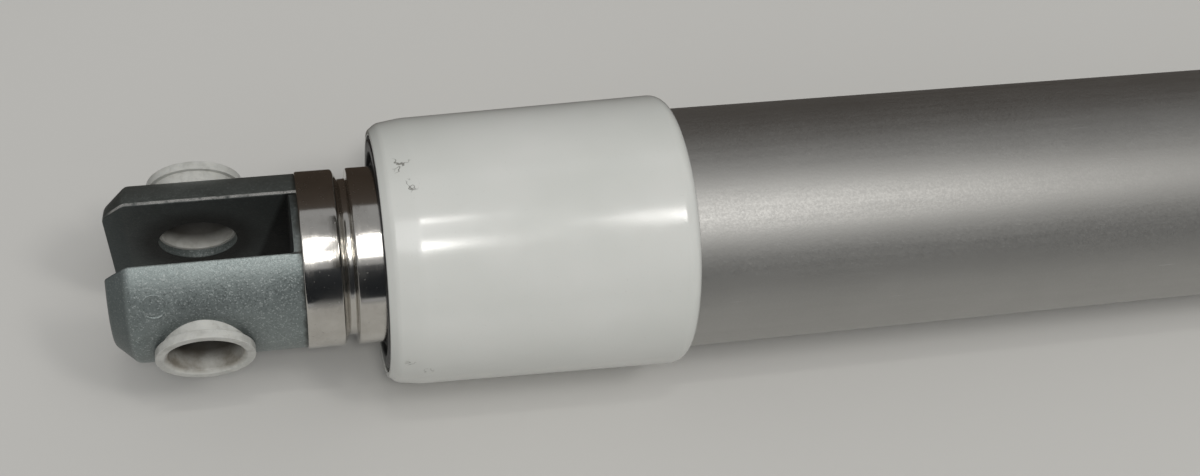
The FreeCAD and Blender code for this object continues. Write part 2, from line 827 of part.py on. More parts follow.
def make_guide_bush():
    """The dark guide that carries the piston tube, with its wiper seat and seal groove."""
    bore = size.piston_radius + size.slide_fit
    outer = tube_bore - size.press_fit
    wiper_start = size.wiper_reach
    wiper_gap = size.slide_fit
    mouth_radius = size.wiper_radius - size.wiper_cover
    head_end = size.guide_head_length
    seal_floor = outer - seal_groove
    seal_end = size.guide_seal_reach + seal_groove
    profile = [
        corner(0.0, mouth_radius),
        corner(0.0, size.guide_head_radius - size.part_chamfer, size.fine_chamfer),
        corner(size.part_chamfer, size.guide_head_radius, size.fine_chamfer),
        corner(head_end, size.guide_head_radius),
        corner(head_end, outer),
        corner(size.guide_seal_reach, outer),
        corner(size.guide_seal_reach, seal_floor),
        corner(seal_end, seal_floor),
        corner(seal_end, outer),
        corner(size.guide_length - size.thread_chamfer, outer),
        corner(size.guide_length, outer - size.thread_chamfer),
        corner(size.guide_length, bore),
        corner(wiper_start + size.wiper_depth, bore),
        corner(wiper_start + size.wiper_depth, size.wiper_radius),
        corner(wiper_start, size.wiper_radius),
        corner(wiper_start, mouth_radius),
    ]
    turned("guide_bush", profile, (guide_front_x, 0.0, 0.0))
    wiper = [
        corner(wiper_start + wiper_gap, size.piston_radius + size.slide_fit),
        corner(wiper_start + wiper_gap, size.wiper_radius - size.press_fit),
        corner(wiper_start + size.wiper_depth - wiper_gap, size.wiper_radius - size.press_fit),
        corner(wiper_start + size.wiper_depth - wiper_gap, size.wiper_radius - size.wiper_rim),
        corner(wiper_start + size.wiper_lip_length, size.wiper_radius - size.wiper_rim),
    ]
    turned("rod_wiper", wiper, (guide_front_x, 0.0, 0.0))
    make_seal("tube_seal", guide_front_x + size.guide_seal_reach, outer)


def make_spindle():
    """The drive spindle with its thread's plain envelope, journal, flatted hub seat and tail."""
    front = size.end_gap_small - size.end_bush_length
    journal_start = (hub_front_x - size.journal_start) - thread_front_x
    seat_start = hub_front_x - thread_front_x
    tail_start = bearing_rear_x - thread_front_x
    tail_end = tail_start + size.lock_nut_thickness + size.edge_chamfer
    profile = [
        corner(front, 0.0),
        corner(front, size.end_bush_bore),
        corner(0.0, size.end_bush_bore),
        corner(0.0, size.spindle_radius - size.thread_chamfer),
        corner(size.thread_chamfer, size.spindle_radius),
        corner(journal_start - size.thread_chamfer, size.spindle_radius),
        corner(journal_start, size.journal_radius),
        corner(seat_start, size.journal_radius),
        corner(seat_start, size.hub_seat_radius),
        corner(tail_start, size.hub_seat_radius),
        corner(tail_start, size.tail_radius),
        corner(tail_end, size.tail_radius),
        corner(tail_end, 0.0),
    ]
    body = turned("spindle", profile, (thread_front_x, 0.0, 0.0))
    flats = new_sketch(body, "XY_Plane")
    flats_end = seat_start + size.hub_length
    draw_box(flats, seat_start, size.hub_flat, flats_end, size.hub_seat_radius + OVERRUN)
    draw_box(flats, seat_start, -size.hub_seat_radius - OVERRUN, flats_end, -size.hub_flat)
    pocket(body, flats, size.hub_seat_radius * 2 + OVERRUN * 2, centred=True)
    hole_depth = size.end_screw_length - size.end_screw_head_thickness
    drill(body, "YZ_Plane", [(0.0, 0.0, size.end_screw_radius + size.press_fit)], hole_depth, lift=front)


def make_spindle_end():
    """The guide bush on the spindle's front end, and the flanged screw that holds it."""
    outer = piston_bore - size.slide_fit
    bush_bore = size.end_bush_bore + size.press_fit
    bush = ring(-size.end_bush_length, -size.press_fit, bush_bore, outer, size.bush_chamfer)
    turned("spindle_end_bush", bush, (thread_front_x, 0.0, 0.0))
    head_back = -size.end_bush_length - size.press_fit
    head_front = head_back - size.end_screw_head_thickness + size.running_fit
    tip = head_back + size.end_screw_length - size.end_screw_head_thickness - size.part_chamfer
    screw = [
        corner(head_front, 0.0),
        corner(head_front, size.end_screw_head_radius - size.thread_chamfer),
        corner(head_front + size.thread_chamfer, size.end_screw_head_radius),
        corner(head_back, size.end_screw_head_radius),
        corner(head_back, size.end_screw_radius),
        corner(tip, size.end_screw_radius),
        corner(tip, 0.0),
    ]
    turned("end_screw", screw, (thread_front_x, 0.0, 0.0))


def involute_of(angle):
    """The involute function of an angle in degrees, in degrees."""
    return tangent(angle) * (180.0 / math.pi) - angle


def gap_half_width(radius):
    """Half the width of the wheel's tooth gap at a radius, from its involute flanks."""
    base_radius = wheel_pitch_radius * math.cos(math.radians(PRESSURE_ANGLE))
    pressure_here = arc_cosine(base_radius / radius)
    pitch_gap = 90.0 / size.wheel_teeth + size.tooth_backlash / 2 / wheel_pitch_radius * (180.0 / math.pi)
    half_angle = pitch_gap + involute_of(pressure_here) - involute_of(as_size(PRESSURE_ANGLE))
    return radius * half_angle * (math.pi / 180.0)


def draw_tooth_gap(body, lift, spin):
    """One gap between the wheel's teeth: a flat root and two bulged flanks open past the tip."""
    sketch = new_sketch(body, "YZ_Plane", lift=lift, spin=spin)
    start_radius = wheel_root_radius + size.tooth_root_height
    mouth_radius = wheel_tip_radius + size.end_gap_small
    root_half = gap_half_width(start_radius)
    mouth_half = gap_half_width(mouth_radius)
    floor_half = root_half * FLOOR_SHARE
    flank_curve = wheel_pitch_radius * math.sin(math.radians(PRESSURE_ANGLE)) * FLANK_FULLNESS
    gap = [
        corner(-mouth_half, mouth_radius, bulge=-flank_curve),
        corner(-root_half, start_radius),
        corner(-floor_half, wheel_root_radius),
        corner(floor_half, wheel_root_radius),
        corner(root_half, start_radius, bulge=-flank_curve),
        corner(mouth_half, mouth_radius),
    ]
    draw_outline(sketch, gap)
    return sketch


def make_worm_wheel():
    """The plastic helical wheel, moulded on a steel hub."""
    half_face = size.wheel_face / 2
    half_web = size.wheel_web / 2
    bore = size.hub_radius + size.press_fit
    rim_bore = wheel_root_radius - size.wheel_rim
    chamfer = size.edge_chamfer
    hub_wall = bore + size.wheel_hub_wall
    profile = [
        corner(-half_face, bore),
        corner(-half_face, hub_wall),
        corner(-half_web, hub_wall),
        corner(-half_web, rim_bore),
        corner(-half_face, rim_bore),
        corner(-half_face, wheel_tip_radius - chamfer),
        corner(chamfer - half_face, wheel_tip_radius),
        corner(half_face - chamfer, wheel_tip_radius),
        corner(half_face, wheel_tip_radius - chamfer),
        corner(half_face, rim_bore),
        corner(half_web, rim_bore),
        corner(half_web, hub_wall),
        corner(half_face, hub_wall),
        corner(half_face, bore),
    ]
    body = turned("worm_wheel", profile, (wheel_x, 0.0, 0.0))
    lead_slope = worm_lead / (size.worm_pitch_radius * 2 * math.pi)
    run_out = half_face + size.seat_gap
    twist = run_out * lead_slope / wheel_pitch_radius * (180.0 / math.pi)
    front = draw_tooth_gap(body, -run_out, -twist)
    rear = draw_tooth_gap(body, run_out, twist)
    gap = add_feature(body, "SubtractiveLoft", front, {"Sections": [(rear, [""])], "Ruled": True})
    repeat_about_x(body, gap, size.wheel_teeth)


def make_worm():
    """The single-start right-hand worm on the motor shaft, in mesh with the wheel at rest."""
    half = size.worm_length / 2
    bore = size.worm_shaft_radius + size.press_fit
    collar_end = half + size.worm_collar_length
    overlap = 0.15
    profile = [
        corner(-half - size.worm_collar_length, bore),
        corner(-half - size.worm_collar_length, worm_root_radius),
        corner(collar_end, worm_root_radius),
        corner(collar_end, bore),
    ]
    body = turned("worm", profile, (wheel_x, 0.0, worm_height), QUARTER_TURN)
    slope = math.tan(math.radians(PRESSURE_ANGLE))
    pitch_half = worm_lead / 4
    tip_half = pitch_half - size.tooth_addendum * slope
    root_half = pitch_half + (size.tooth_dedendum + overlap) * slope
    start = -worm_lead * (WORM_TURNS // 2 + THREAD_PHASE)
    thread = new_sketch(body, "XY_Plane")
    tooth = [
        corner(start - root_half, worm_root_radius - overlap),
        corner(start - tip_half, worm_tip_radius),
        corner(start + tip_half, worm_tip_radius),
        corner(start + root_half, worm_root_radius - overlap),
    ]
    draw_outline(thread, tooth)
    helix = {
        "ReferenceAxis": (thread, ["H_Axis"]),
        "Mode": "pitch-height-angle",
        "Angle": 0.0,
        "Pitch": worm_lead,
        "Height": worm_lead * WORM_TURNS,
    }
    add_feature(body, "AdditiveHelix", thread, helix)


def make_wheel_hub():
    """The steel hub, with a bore that fits the spindle's flats."""
    profile = ring(0.0, size.hub_length, 0.0, size.hub_radius, size.part_chamfer)
    body = turned("wheel_hub", profile, (hub_front_x, 0.0, 0.0))
    sketch = new_sketch(body, "YZ_Plane")
    flat = size.hub_flat + size.press_fit
    radius = size.hub_seat_radius + size.press_fit
    edge = root(radius * radius - flat * flat)
    bore = [
        corner(-flat, -edge),
        corner(-flat, edge, bulge=-radius),
        corner(flat, edge),
        corner(flat, -edge, bulge=-radius),
    ]
    draw_outline(sketch, bore)
    pocket(body, sketch, size.hub_length, along=1)


def race_profile(inner, outer, groove_from_outside):
    """A race with the ball's groove in one of its two cylindrical faces."""
    width = size.bearing_width
    groove_radius = size.ball_radius + size.ball_clearance
    if groove_from_outside:
        lip = outer
        depth = size.ball_circle_radius - lip
        half = root(groove_radius * groove_radius - depth * depth)
        return [
            corner(0.0, inner),
            corner(0.0, lip),
            corner(width / 2 - half, lip, bulge=groove_radius),
            corner(width / 2 + half, lip),
            corner(width, lip),
            corner(width, inner),
        ]
    lip = inner
    depth = lip - size.ball_circle_radius
    half = root(groove_radius * groove_radius - depth * depth)
    return [
        corner(0.0, outer),
        corner(width, outer),
        corner(width, lip),
        corner(width / 2 + half, lip, bulge=groove_radius),
        corner(width / 2 - half, lip),
        corner(0.0, lip),
    ]


def make_bearing():
    """A deep-groove ball bearing: two races, eight balls and a plain ring cage."""
    inner_lip = size.ball_circle_radius - size.race_shoulder
    outer_lip = size.ball_circle_radius + size.race_shoulder
    place = (bearing_front_x, 0.0, 0.0)
    bearing_bore = size.bearing_bore_radius + size.press_fit
    turned("bearing_inner_race", race_profile(bearing_bore, inner_lip, True), place)
    outer = size.bearing_outer_radius
    turned("bearing_outer_race", race_profile(outer_lip, outer, False), place)
    centre = (bearing_front_x + size.bearing_width / 2, 0.0, 0.0)
    balls = new_body("bearing_balls", centre)
    sketch = new_sketch(balls, "XY_Plane")
    radius = size.ball_radius
    centre_point = Vector(0, size.ball_circle_radius.number, 0)
    half_circle = Part.ArcOfCircle(Part.Circle(centre_point, Vector(0, 0, 1), radius.number), 0, math.pi)
    arc = sketch.addGeometry(half_circle)
    line = sketch.addGeometry(Part.LineSegment(half_circle.EndPoint, half_circle.StartPoint))
    sketch.addConstraint(Sketcher.Constraint("Coincident", arc, 2, line, 1))
    sketch.addConstraint(Sketcher.Constraint("Coincident", arc, 1, line, 2))
    sketch.addConstraint(Sketcher.Constraint("Horizontal", line))
    sketch.addConstraint(Sketcher.Constraint("PointOnObject", arc, 3, line))
    pin_point(sketch, arc, 3, as_size(0.0), size.ball_circle_radius)
    bind(sketch, "Radius", (arc,), radius)
    about_its_flat = {"ReferenceAxis": (sketch, ["Edge2"]), "Angle": FULL_TURN}
    ball = add_feature(balls, "Revolution", sketch, about_its_flat)
    repeat_about_x(balls, ball, size.ball_count)
    cage_inner = size.ball_circle_radius - size.cage_thickness / 2
    cage_outer = size.ball_circle_radius + size.cage_thickness / 2
    half_width = size.cage_width / 2
    cage = turned("ball_cage", ring(-half_width, half_width, cage_inner, cage_outer), centre)
    window = new_sketch(cage, "XZ_Plane")
    draw_circle(window, 0.0, 0.0, radius + size.ball_clearance)
    hole = pocket(cage, window, cage_outer + OVERRUN, along=-1)
    repeat_about_x(cage, hole, size.ball_count)


def hexagon(flats):
    """Six corners of a nut whose flats are this far apart."""
    reach = flats / math.sqrt(3)
    across = flats / 2
    return [
        corner(across, -reach / 2),
        corner(across, reach / 2),
        corner(0.0, reach),
        corner(-across, reach / 2),
        corner(-across, -reach / 2),
        corner(0.0, -reach),
    ]


def make_lock_nut():
    """The hexagon nut that clamps the bearing's inner race on the spindle."""
    body = new_body("spindle_lock_nut", (bearing_rear_x, 0.0, 0.0))
    sketch = new_sketch(body, "YZ_Plane")
    draw_outline(sketch, hexagon(size.lock_nut_flats))
    draw_circle(sketch, 0.0, 0.0, size.tail_radius + size.press_fit)
    pad(body, sketch, size.lock_nut_thickness)


def lozenge(radius):
    """A disc of this radius drawn out to a round lug on each side along Y."""
    sine = (radius - size.lug_radius) / size.lug_offset
    cosine = root(1.0 - sine * sine)
    side = radius / sine
    top = radius / cosine
    return [
        corner(-side, 0.0, size.lug_radius),
        corner(0.0, -top, radius),
        corner(side, 0.0, size.lug_radius),
        corner(0.0, top, radius),
    ]


def lug_holes(radius):
    return [(-size.lug_offset, 0.0, radius), (size.lug_offset, 0.0, radius)]


def make_rear_clevis():
    """The rear clevis: the same ears as the fork, a round neck, and a block that seats the bearing."""
    neck_start = -block_rear_x
    profile = clevis_profile() + [
        corner(size.shoulder_reach, size.ear_radius),
        corner(size.shoulder_reach + size.neck_slope, size.neck_radius),
        corner(neck_start + OVERRUN, size.neck_radius),
        corner(neck_start + OVERRUN, 0.0),
    ]
    body = turned("rear_clevis", profile, turn=180.0)
    block = new_sketch(body, "YZ_Plane", lift=neck_start)
    draw_outline(block, lozenge(size.block_radius))
    block_front = size.bearing_reach + size.bearing_width
    pad(body, block, block_front - neck_start)
    cut_clevis(body)
    seat = size.bearing_outer_radius + size.press_fit
    drill(body, "YZ_Plane", [(0.0, 0.0, seat)], size.bearing_width, lift=size.bearing_reach)
    pocket_depth = size.bearing_reach - size.nut_pocket_reach
    drill(body, "YZ_Plane", [(0.0, 0.0, size.nut_pocket_radius)], pocket_depth, lift=size.nut_pocket_reach)
    through = block_front - neck_start + OVERRUN * 2
    tie_hole = size.tie_radius + size.tie_clearance
    drill(body, "YZ_Plane", lug_holes(tie_hole), through, lift=neck_start - OVERRUN)
    recess = size.tie_head_radius + size.tie_clearance
    drill(body, "YZ_Plane", lug_holes(recess), size.tie_head_recess + OVERRUN, lift=neck_start - OVERRUN)


def make_bearing_plate():
    """The steel plate that holds the bearing in its seat."""
    body = new_body("bearing_plate", (retainer_front_x, 0.0, 0.0))
    sketch = new_sketch(body, "YZ_Plane")
    draw_outline(sketch, lozenge(size.block_radius))
    draw_circle(sketch, 0.0, 0.0, size.retainer_bore)
    for across, up, radius in lug_holes(size.tie_radius + size.tie_clearance):
        draw_circle(sketch, across, up, radius)
    pad(body, sketch, size.retainer_thickness)


def make_tube_flange():
    """The flange that joins the outer tube to the gear: a lozenge plate with a spigot in the tube."""
    body = new_body("tube_flange", (flange_rear_x, 0.0, 0.0))
    plate = new_sketch(body, "YZ_Plane")
    draw_outline(plate, lozenge(size.block_radius))
    pad(body, plate, size.flange_thickness, along=-1)
    spigot = new_sketch(body, "YZ_Plane", lift=-size.flange_thickness)
    draw_circle(spigot, 0.0, 0.0, tube_bore - size.press_fit)
    pad(body, spigot, size.spigot_length, along=-1)
    bush_seat = size.journal_radius + size.running_fit + size.support_bush_wall + size.press_fit
    through = size.flange_thickness + size.spigot_length
    drill(body, "YZ_Plane", [(0.0, 0.0, bush_seat)], through, along=-1)
    drill(body, "YZ_Plane", lug_holes(size.tie_radius + size.press_fit), size.flange_thickness, along=-1)


def make_support_bush():
    """The plain bush that steadies the spindle in the flange."""
    bore = size.journal_radius + size.running_fit
    outer = bore + size.support_bush_wall
    lip_front = -size.support_bush_lip
    end = size.spigot_length + size.flange_thickness - size.end_gap_small
    profile = [
        corner(lip_front, bore),
        corner(lip_front, size.support_lip_radius),
        corner(0.0, size.support_lip_radius),
        corner(0.0, outer),
        corner(end, outer),
        corner(end, bore),
    ]
    turned("support_bush", profile, (spigot_front_x, 0.0, 0.0))
    bumper_inner = size.support_lip_radius + size.slide_fit
    bumper_outer = tube_bore - size.end_gap_small
    bumper = ring(-size.bumper_thickness, 0.0, bumper_inner, bumper_outer, size.part_chamfer)
    turned("rear_bumper", bumper, (spigot_front_x, 0.0, 0.0))


def make_ties():
    """The two screws that tie the clevis block to the tube flange, and the sleeves on them."""
    screws = []
    sleeves = []
    sleeve_length = retainer_front_x - flange_rear_x
    head_seat = block_rear_x - size.tie_head_recess
    reach = head_seat - flange_front_x
    for side in (1, -1):
        place_y = size.lug_offset * side
        screw = [
            corner(-reach, 0.0),
            corner(-reach, size.tie_radius - size.part_chamfer),
            corner(size.part_chamfer - reach, size.tie_radius),
            corner(0.0, size.tie_radius),
            corner(0.0, size.tie_head_radius),
            corner(size.tie_head_length - size.edge_chamfer, size.tie_head_radius),
            corner(size.tie_head_length, size.tie_head_radius - size.edge_chamfer),
            corner(size.tie_head_length, 0.0),
        ]
        number = len(screws) + 1
        screws.append(turned(f"tie_screw_{number}", screw, (head_seat, place_y, 0.0), listed=False))
        sleeve = ring(0.0, sleeve_length, size.tie_radius + size.tie_clearance, size.sleeve_radius)
        sleeves.append(turned(f"tie_sleeve_{number}", sleeve, (flange_rear_x, place_y, 0.0), listed=False))
    group("tie_screws", screws)
    group("tie_sleeves", sleeves)


# The housing's outline, seen along X
wall = size.shell_wall
motor_end = size.motor_front + size.end_plate_thickness + size.can_length + size.rear_cap_thickness
side_y = -(size.lug_offset + size.lug_radius + size.side_room + wall)
end_y = motor_end + size.end_room + wall
foot_z = -size.cap_rear_radius
crown_z = worm_height + worm_tip_radius + size.crown_room + wall
top_z = worm_height + size.motor_radius + size.motor_room + wall
board_y = size.motor_front - size.bulkhead_thickness - size.seat_gap
bulkhead_y = size.motor_front - size.seat_gap - size.bulkhead_thickness


def housing_outline():
    return [
        corner(side_y, foot_z, size.foot_corner),
        corner(end_y, foot_z, size.end_corner),
        corner(end_y, top_z, size.end_corner),
        corner(size.crown_slope_end, top_z, size.shoulder_corner),
        corner(size.crown_slope_start, crown_z, size.shoulder_corner),
        corner(side_y, crown_z, size.crown_corner),
    ]


def gear_room_outline():
    """The room of the wheel and worm, up to the solid block that holds the worm's end."""
    block_y = size.part_chamfer - size.end_bearing_place
    block_z = worm_height - size.end_bearing_radius - size.end_block_wall
    slope = (top_z - crown_z) / (size.crown_slope_end - size.crown_slope_start)
    slope_top = crown_z - wall + (bulkhead_y - size.crown_slope_start - size.crown_slope_offset) * slope
    return [
        corner(side_y + wall, foot_z + wall, size.foot_corner - wall),
        corner(bulkhead_y, foot_z + wall),
        corner(bulkhead_y, slope_top),
        corner(size.crown_slope_start + size.crown_slope_offset, crown_z - wall),
        corner(block_y, crown_z - wall),
        corner(block_y, block_z),
        corner(side_y + wall, block_z),
    ]


def motor_room_outlines():
    """The three rooms between the ribs that cradle the motor."""
    bottom = foot_z + wall
    top = top_z - wall
    first = size.first_rib_place
    second = size.second_rib_place
    far = end_y - wall
    inner_corner = size.end_corner - wall
    near_room = [
        corner(bulkhead_y + size.bulkhead_thickness, bottom),
        corner(first, bottom),
        corner(first, top),
        corner(bulkhead_y + size.bulkhead_thickness, top),
    ]
    middle_room = [
        corner(first + size.rib_thickness, bottom),
        corner(second, bottom),
        corner(second, top),
        corner(first + size.rib_thickness, top),
    ]
    far_room = [
        corner(second + size.rib_thickness, bottom),
        corner(far, bottom, inner_corner),
        corner(far, top, inner_corner),
        corner(second + size.rib_thickness, top),
    ]
    return [near_room, middle_room, far_room]


def drive_bores():
    """The stepped round space about the worm's axis: end bush, worm, motor boss and motor."""
    bush = size.end_bearing_radius + size.press_fit
    boss = size.end_plate_boss + size.seat_gap
    cradle = size.motor_radius + size.seat_gap
    bush_end = -size.end_bearing_place - size.end_bearing_length - size.seat_gap
    boss_start = OVERRUN - size.end_bearing_place
    bulkhead_end = bulkhead_y + size.bulkhead_thickness
    return [
        corner(bush_end, 0.0),
        corner(bush_end, bush),
        corner(boss_start, bush),
        corner(boss_start, boss),
        corner(bulkhead_end, boss),
        corner(bulkhead_end, cradle),
        corner(motor_end + size.seat_gap, cradle),
        corner(motor_end + size.seat_gap, 0.0),
    ]


def make_shell(label, side):
    """One moulded half of the housing. Its parting face lies on the plane of the worm's axis."""
    body = new_body(label, (wheel_x, 0.0, 0.0))
    outline = new_sketch(body, "YZ_Plane")
    draw_outline(outline, housing_outline())
    pad(body, outline, size.shell_depth, along=side)
    outer_face = size.shell_depth.number * side
    round_edges(body, size.shell_edge_rounding, lambda point: abs(point.x - outer_face) < 1e-6)
    room_depth = size.shell_depth - wall
    for room in [gear_room_outline()] + motor_room_outlines():
        cavity = new_sketch(body, "YZ_Plane")
        draw_outline(cavity, room)
        pocket(body, cavity, room_depth, along=side)
    bosses = new_sketch(body, "YZ_Plane")
    for across, up in SHELL_SCREW_PLACES.values():
        draw_circle(bosses, across, up, size.boss_radius)
    pad(body, bosses, room_depth + size.part_chamfer, along=side)
    turn_profile(body, drive_bores(), kind="Groove", plane="YZ_Plane", rise=worm_height)
    return body


def screw_spots(radius):
    return [(across, up, radius) for across, up in SHELL_SCREW_PLACES.values()]


def make_front_shell():
    """The half towards the piston, with the socket that grips the outer tube."""
    body = make_shell("housing_front", -1)
    socket_radius = size.tube_radius + size.tube_socket_gap
    socket_end = wheel_x - flange_front_x + size.seat_gap
    collar = new_sketch(body, "YZ_Plane", lift=-socket_end)
    draw_circle(collar, 0.0, 0.0, socket_radius + size.tube_socket_wall)
    pad(body, collar, size.shell_depth - wall - socket_end + size.part_chamfer, along=-1)
    tube_end = wheel_x - flange_front_x - size.end_gap_small
    drill(body, "YZ_Plane", [(0.0, 0.0, socket_radius)], size.shell_depth, lift=-tube_end, along=-1)
    pilot = size.screw_radius + size.press_fit
    depth = size.screw_length - (size.shell_depth - size.screw_recess) + OVERRUN
    drill(body, "YZ_Plane", screw_spots(pilot), depth, along=-1)


def make_rear_shell():
    """The half towards the rear clevis, with the screw recesses and the window of the power inlet."""
    body = make_shell("housing_rear", 1)
    drill(body, "YZ_Plane", [(0.0, 0.0, size.neck_radius + size.neck_gap)], size.shell_depth + OVERRUN)
    drill(body, "YZ_Plane", screw_spots(size.screw_radius + size.tie_clearance), size.shell_depth + OVERRUN)
    recess_floor = size.shell_depth - size.screw_recess
    recess = size.screw_head_radius + size.seat_gap
    drill(body, "YZ_Plane", screw_spots(recess), size.screw_recess + OVERRUN, lift=recess_floor)
    window = new_sketch(body, "YZ_Plane", lift=size.shell_depth - wall - OVERRUN)
    half_width = size.inlet_width / 2 + size.seat_gap
    half_tall = size.inlet_tall / 2 + size.seat_gap
    centre_y = size.inlet_place
    centre_z = -size.inlet_height
    draw_box(window, centre_y - half_width, centre_z - half_tall, centre_y + half_width, centre_z + half_tall)
    pocket(body, window, wall + OVERRUN * 2)


def make_housing_screws():
    screws = []
    seat_x = housing_rear_x - size.screw_recess
    head = size.screw_head_length
    for name, (across, up) in SHELL_SCREW_PLACES.items():
        profile = [
            corner(-size.screw_length, 0.0),
            corner(size.screw_radius - size.screw_length, size.screw_radius),
            corner(0.0, size.screw_radius),
            corner(0.0, size.screw_head_radius),
            corner(head, size.screw_head_radius),
            corner(head, 0.0),
        ]
        screws.append(turned(f"housing_screw_{name}", profile, (seat_x, across, up), listed=False))
    group("housing_screws", screws)


def on_drive_axis(label, corners, listed=True):
    """A piece turned about the worm's axis. Its distances are places along Y."""
    return turned(label, corners, (wheel_x, 0.0, worm_height), QUARTER_TURN, listed)


def make_motor_case():
    """The motor's can, its steel end plate, and the plastic cap that holds the brushes."""
    plate_end = size.motor_front + size.end_plate_thickness
    can_end = plate_end + size.can_length
    bush_seat = size.motor_bush_radius + size.press_fit
    can_bore = size.motor_radius - size.can_wall
    on_drive_axis("motor_can", ring(plate_end, can_end, can_bore, size.motor_radius, size.part_chamfer))
    plate = [
        corner(size.motor_front - size.bulkhead_thickness, bush_seat),
        corner(size.motor_front - size.bulkhead_thickness, size.end_plate_boss),
        corner(size.motor_front, size.end_plate_boss),
        corner(size.motor_front, size.motor_radius - size.part_chamfer),
        corner(size.motor_front + size.part_chamfer, size.motor_radius),
        corner(plate_end, size.motor_radius),
        corner(plate_end, can_bore - size.press_fit),
        corner(plate_end + size.spigot_step, can_bore - size.press_fit),
        corner(plate_end + size.spigot_step, can_bore - size.spigot_step),
        corner(plate_end, can_bore - size.spigot_step),
        corner(plate_end, bush_seat),
    ]
    on_drive_axis("motor_end_plate", plate)
    rear = [
        corner(can_end - size.brush_ring_depth, size.brush_ring_bore),
        corner(can_end - size.brush_ring_depth, can_bore - size.press_fit),
        corner(can_end, can_bore - size.press_fit),
        corner(can_end, size.motor_radius),
        corner(motor_end - size.thread_chamfer, size.motor_radius),
        corner(motor_end, size.motor_radius - size.thread_chamfer),
        corner(motor_end, bush_seat),
        corner(can_end - size.spigot_step, bush_seat),
        corner(can_end - size.spigot_step, size.brush_ring_bore),
    ]
    cap = on_drive_axis("motor_rear_cap", rear)
    channel = size.brush_width + size.end_gap_small
    centre = size.commutator_place + size.commutator_length / 2
    channels = new_sketch(cap, "XZ_Plane")
    outside = size.brush_gap + size.commutator_radius + size.brush_length + size.seat_gap
    for side in (1, -1):
        inside = size.brush_ring_bore - size.part_chamfer
        draw_box(channels, centre - channel / 2, inside * side, centre + channel / 2, outside * side)
    pocket(cap, channels, channel, centred=True)
    bushes = []
    front_bush = size.motor_front - size.bulkhead_thickness + size.seat_gap
    for number, start in enumerate((front_bush, can_end - size.spigot_step), start=1):
        end = start + size.motor_bush_length - size.motor_bush_recess
        bush = ring(start, end, size.shaft_radius + size.running_fit, size.motor_bush_radius)
        bushes.append(on_drive_axis(f"motor_bush_{number}", bush, listed=False))
    group("motor_bushes", bushes)


def make_motor_field():
    """Two arc magnets in the can, and the two carbon brushes."""
    magnets = []
    outer = size.motor_radius - size.can_wall - size.press_fit
    inner = outer - size.magnet_thickness
    for number in (1, 2):
        body = new_body(f"motor_magnet_{number}", (wheel_x, 0.0, worm_height), QUARTER_TURN, listed=False)
        sketch = new_sketch(body, "XY_Plane")
        start = size.magnet_place
        draw_outline(sketch, ring(start, start + size.magnet_length, inner, outer))
        changes = {
            "ReferenceAxis": (sketch, ["H_Axis"]),
            "Angle": size.magnet_angle,
            "Midplane": True,
        }
        add_feature(body, "Revolution", sketch, changes)
        if number == 2:
            body.Placement = Placement(body.Placement.Base, Rotation(90.0, 0.0, 180.0))
        magnets.append(body)
    group("motor_magnets", magnets)
    brushes = []
    centre = size.commutator_place + size.commutator_length / 2
    half = size.brush_width / 2
    for side in (1, -1):
        label = f"motor_brush_{len(brushes) + 1}"
        body = new_body(label, (wheel_x, 0.0, worm_height), QUARTER_TURN, listed=False)
        sketch = new_sketch(body, "XZ_Plane")
        near = size.commutator_radius + size.brush_gap
        draw_box(sketch, centre - half, near * side, centre + half, (near + size.brush_length) * side)
        pad(body, sketch, size.brush_width, centred=True)
        brushes.append(body)
    group("motor_brushes", brushes)


def make_rotor():
    """The motor shaft with its core, windings, commutator and the sensor's magnet ring."""
    shaft_end = motor_end - size.shaft_cover
    shaft = [
        corner(-size.shaft_tip, 0.0),
        corner(-size.shaft_tip, size.worm_shaft_radius - size.edge_chamfer),
        corner(size.edge_chamfer - size.shaft_tip, size.worm_shaft_radius),
        corner(size.worm_shaft_end, size.worm_shaft_radius),
        corner(size.worm_shaft_end, size.shaft_radius),
        corner(shaft_end - size.part_chamfer, size.shaft_radius),
        corner(shaft_end, size.shaft_radius - size.part_chamfer),
        corner(shaft_end, 0.0),
    ]
    on_drive_axis("motor_shaft", shaft)
    bore = size.shaft_radius + size.press_fit
    magnet_start = size.magnet_ring_place
    magnet_end = magnet_start + size.magnet_ring_thickness
    magnet = ring(magnet_start, magnet_end, bore, size.magnet_ring_radius, size.edge_chamfer)
    on_drive_axis("magnet_ring", magnet)
    commutator_end = size.commutator_place + size.commutator_length
    segments = ring(size.commutator_place, commutator_end, bore, size.commutator_radius, size.edge_chamfer)
    on_drive_axis("commutator", segments)
    core_radius = size.motor_radius - size.can_wall - size.press_fit - size.magnet_thickness - size.air_gap
    core_end = size.core_place + size.core_length
    core = on_drive_axis("armature_core", ring(size.core_place, core_end, bore, core_radius))
    slot_centre = core_radius - size.slot_room_radius - size.slot_roof
    slots = new_sketch(core, "YZ_Plane", lift=size.core_place)
    draw_circle(slots, 0.0, slot_centre, size.slot_room_radius)
    slot = pocket(core, slots, size.core_length)
    repeat_about_x(core, slot, size.core_slots)
    inner = size.winding_inner_radius
    outer = size.winding_outer_radius
    gap = size.running_fit
    near_start = size.core_place - size.winding_overhang
    near_end = ring(near_start, size.core_place - gap, inner, outer, size.slot_roof)
    far_end = ring(core_end + gap, core_end + size.winding_overhang, inner, outer, size.slot_roof)
    windings = on_drive_axis("armature_windings", near_end)
    turn_profile(windings, far_end)
    bundle = new_sketch(windings, "YZ_Plane", lift=size.core_place - OVERRUN)
    draw_circle(bundle, 0.0, slot_centre, size.slot_room_radius - gap)
    wires = pad(windings, bundle, size.core_length + OVERRUN * 2)
    repeat_about_x(windings, wires, size.core_slots)


def make_worm_end_bush():
    start = -size.end_bearing_place - size.end_bearing_length
    bore = size.worm_shaft_radius + size.running_fit
    bush = ring(start, -size.end_bearing_place, bore, size.end_bearing_radius, size.edge_chamfer)
    on_drive_axis("worm_end_bush", bush)


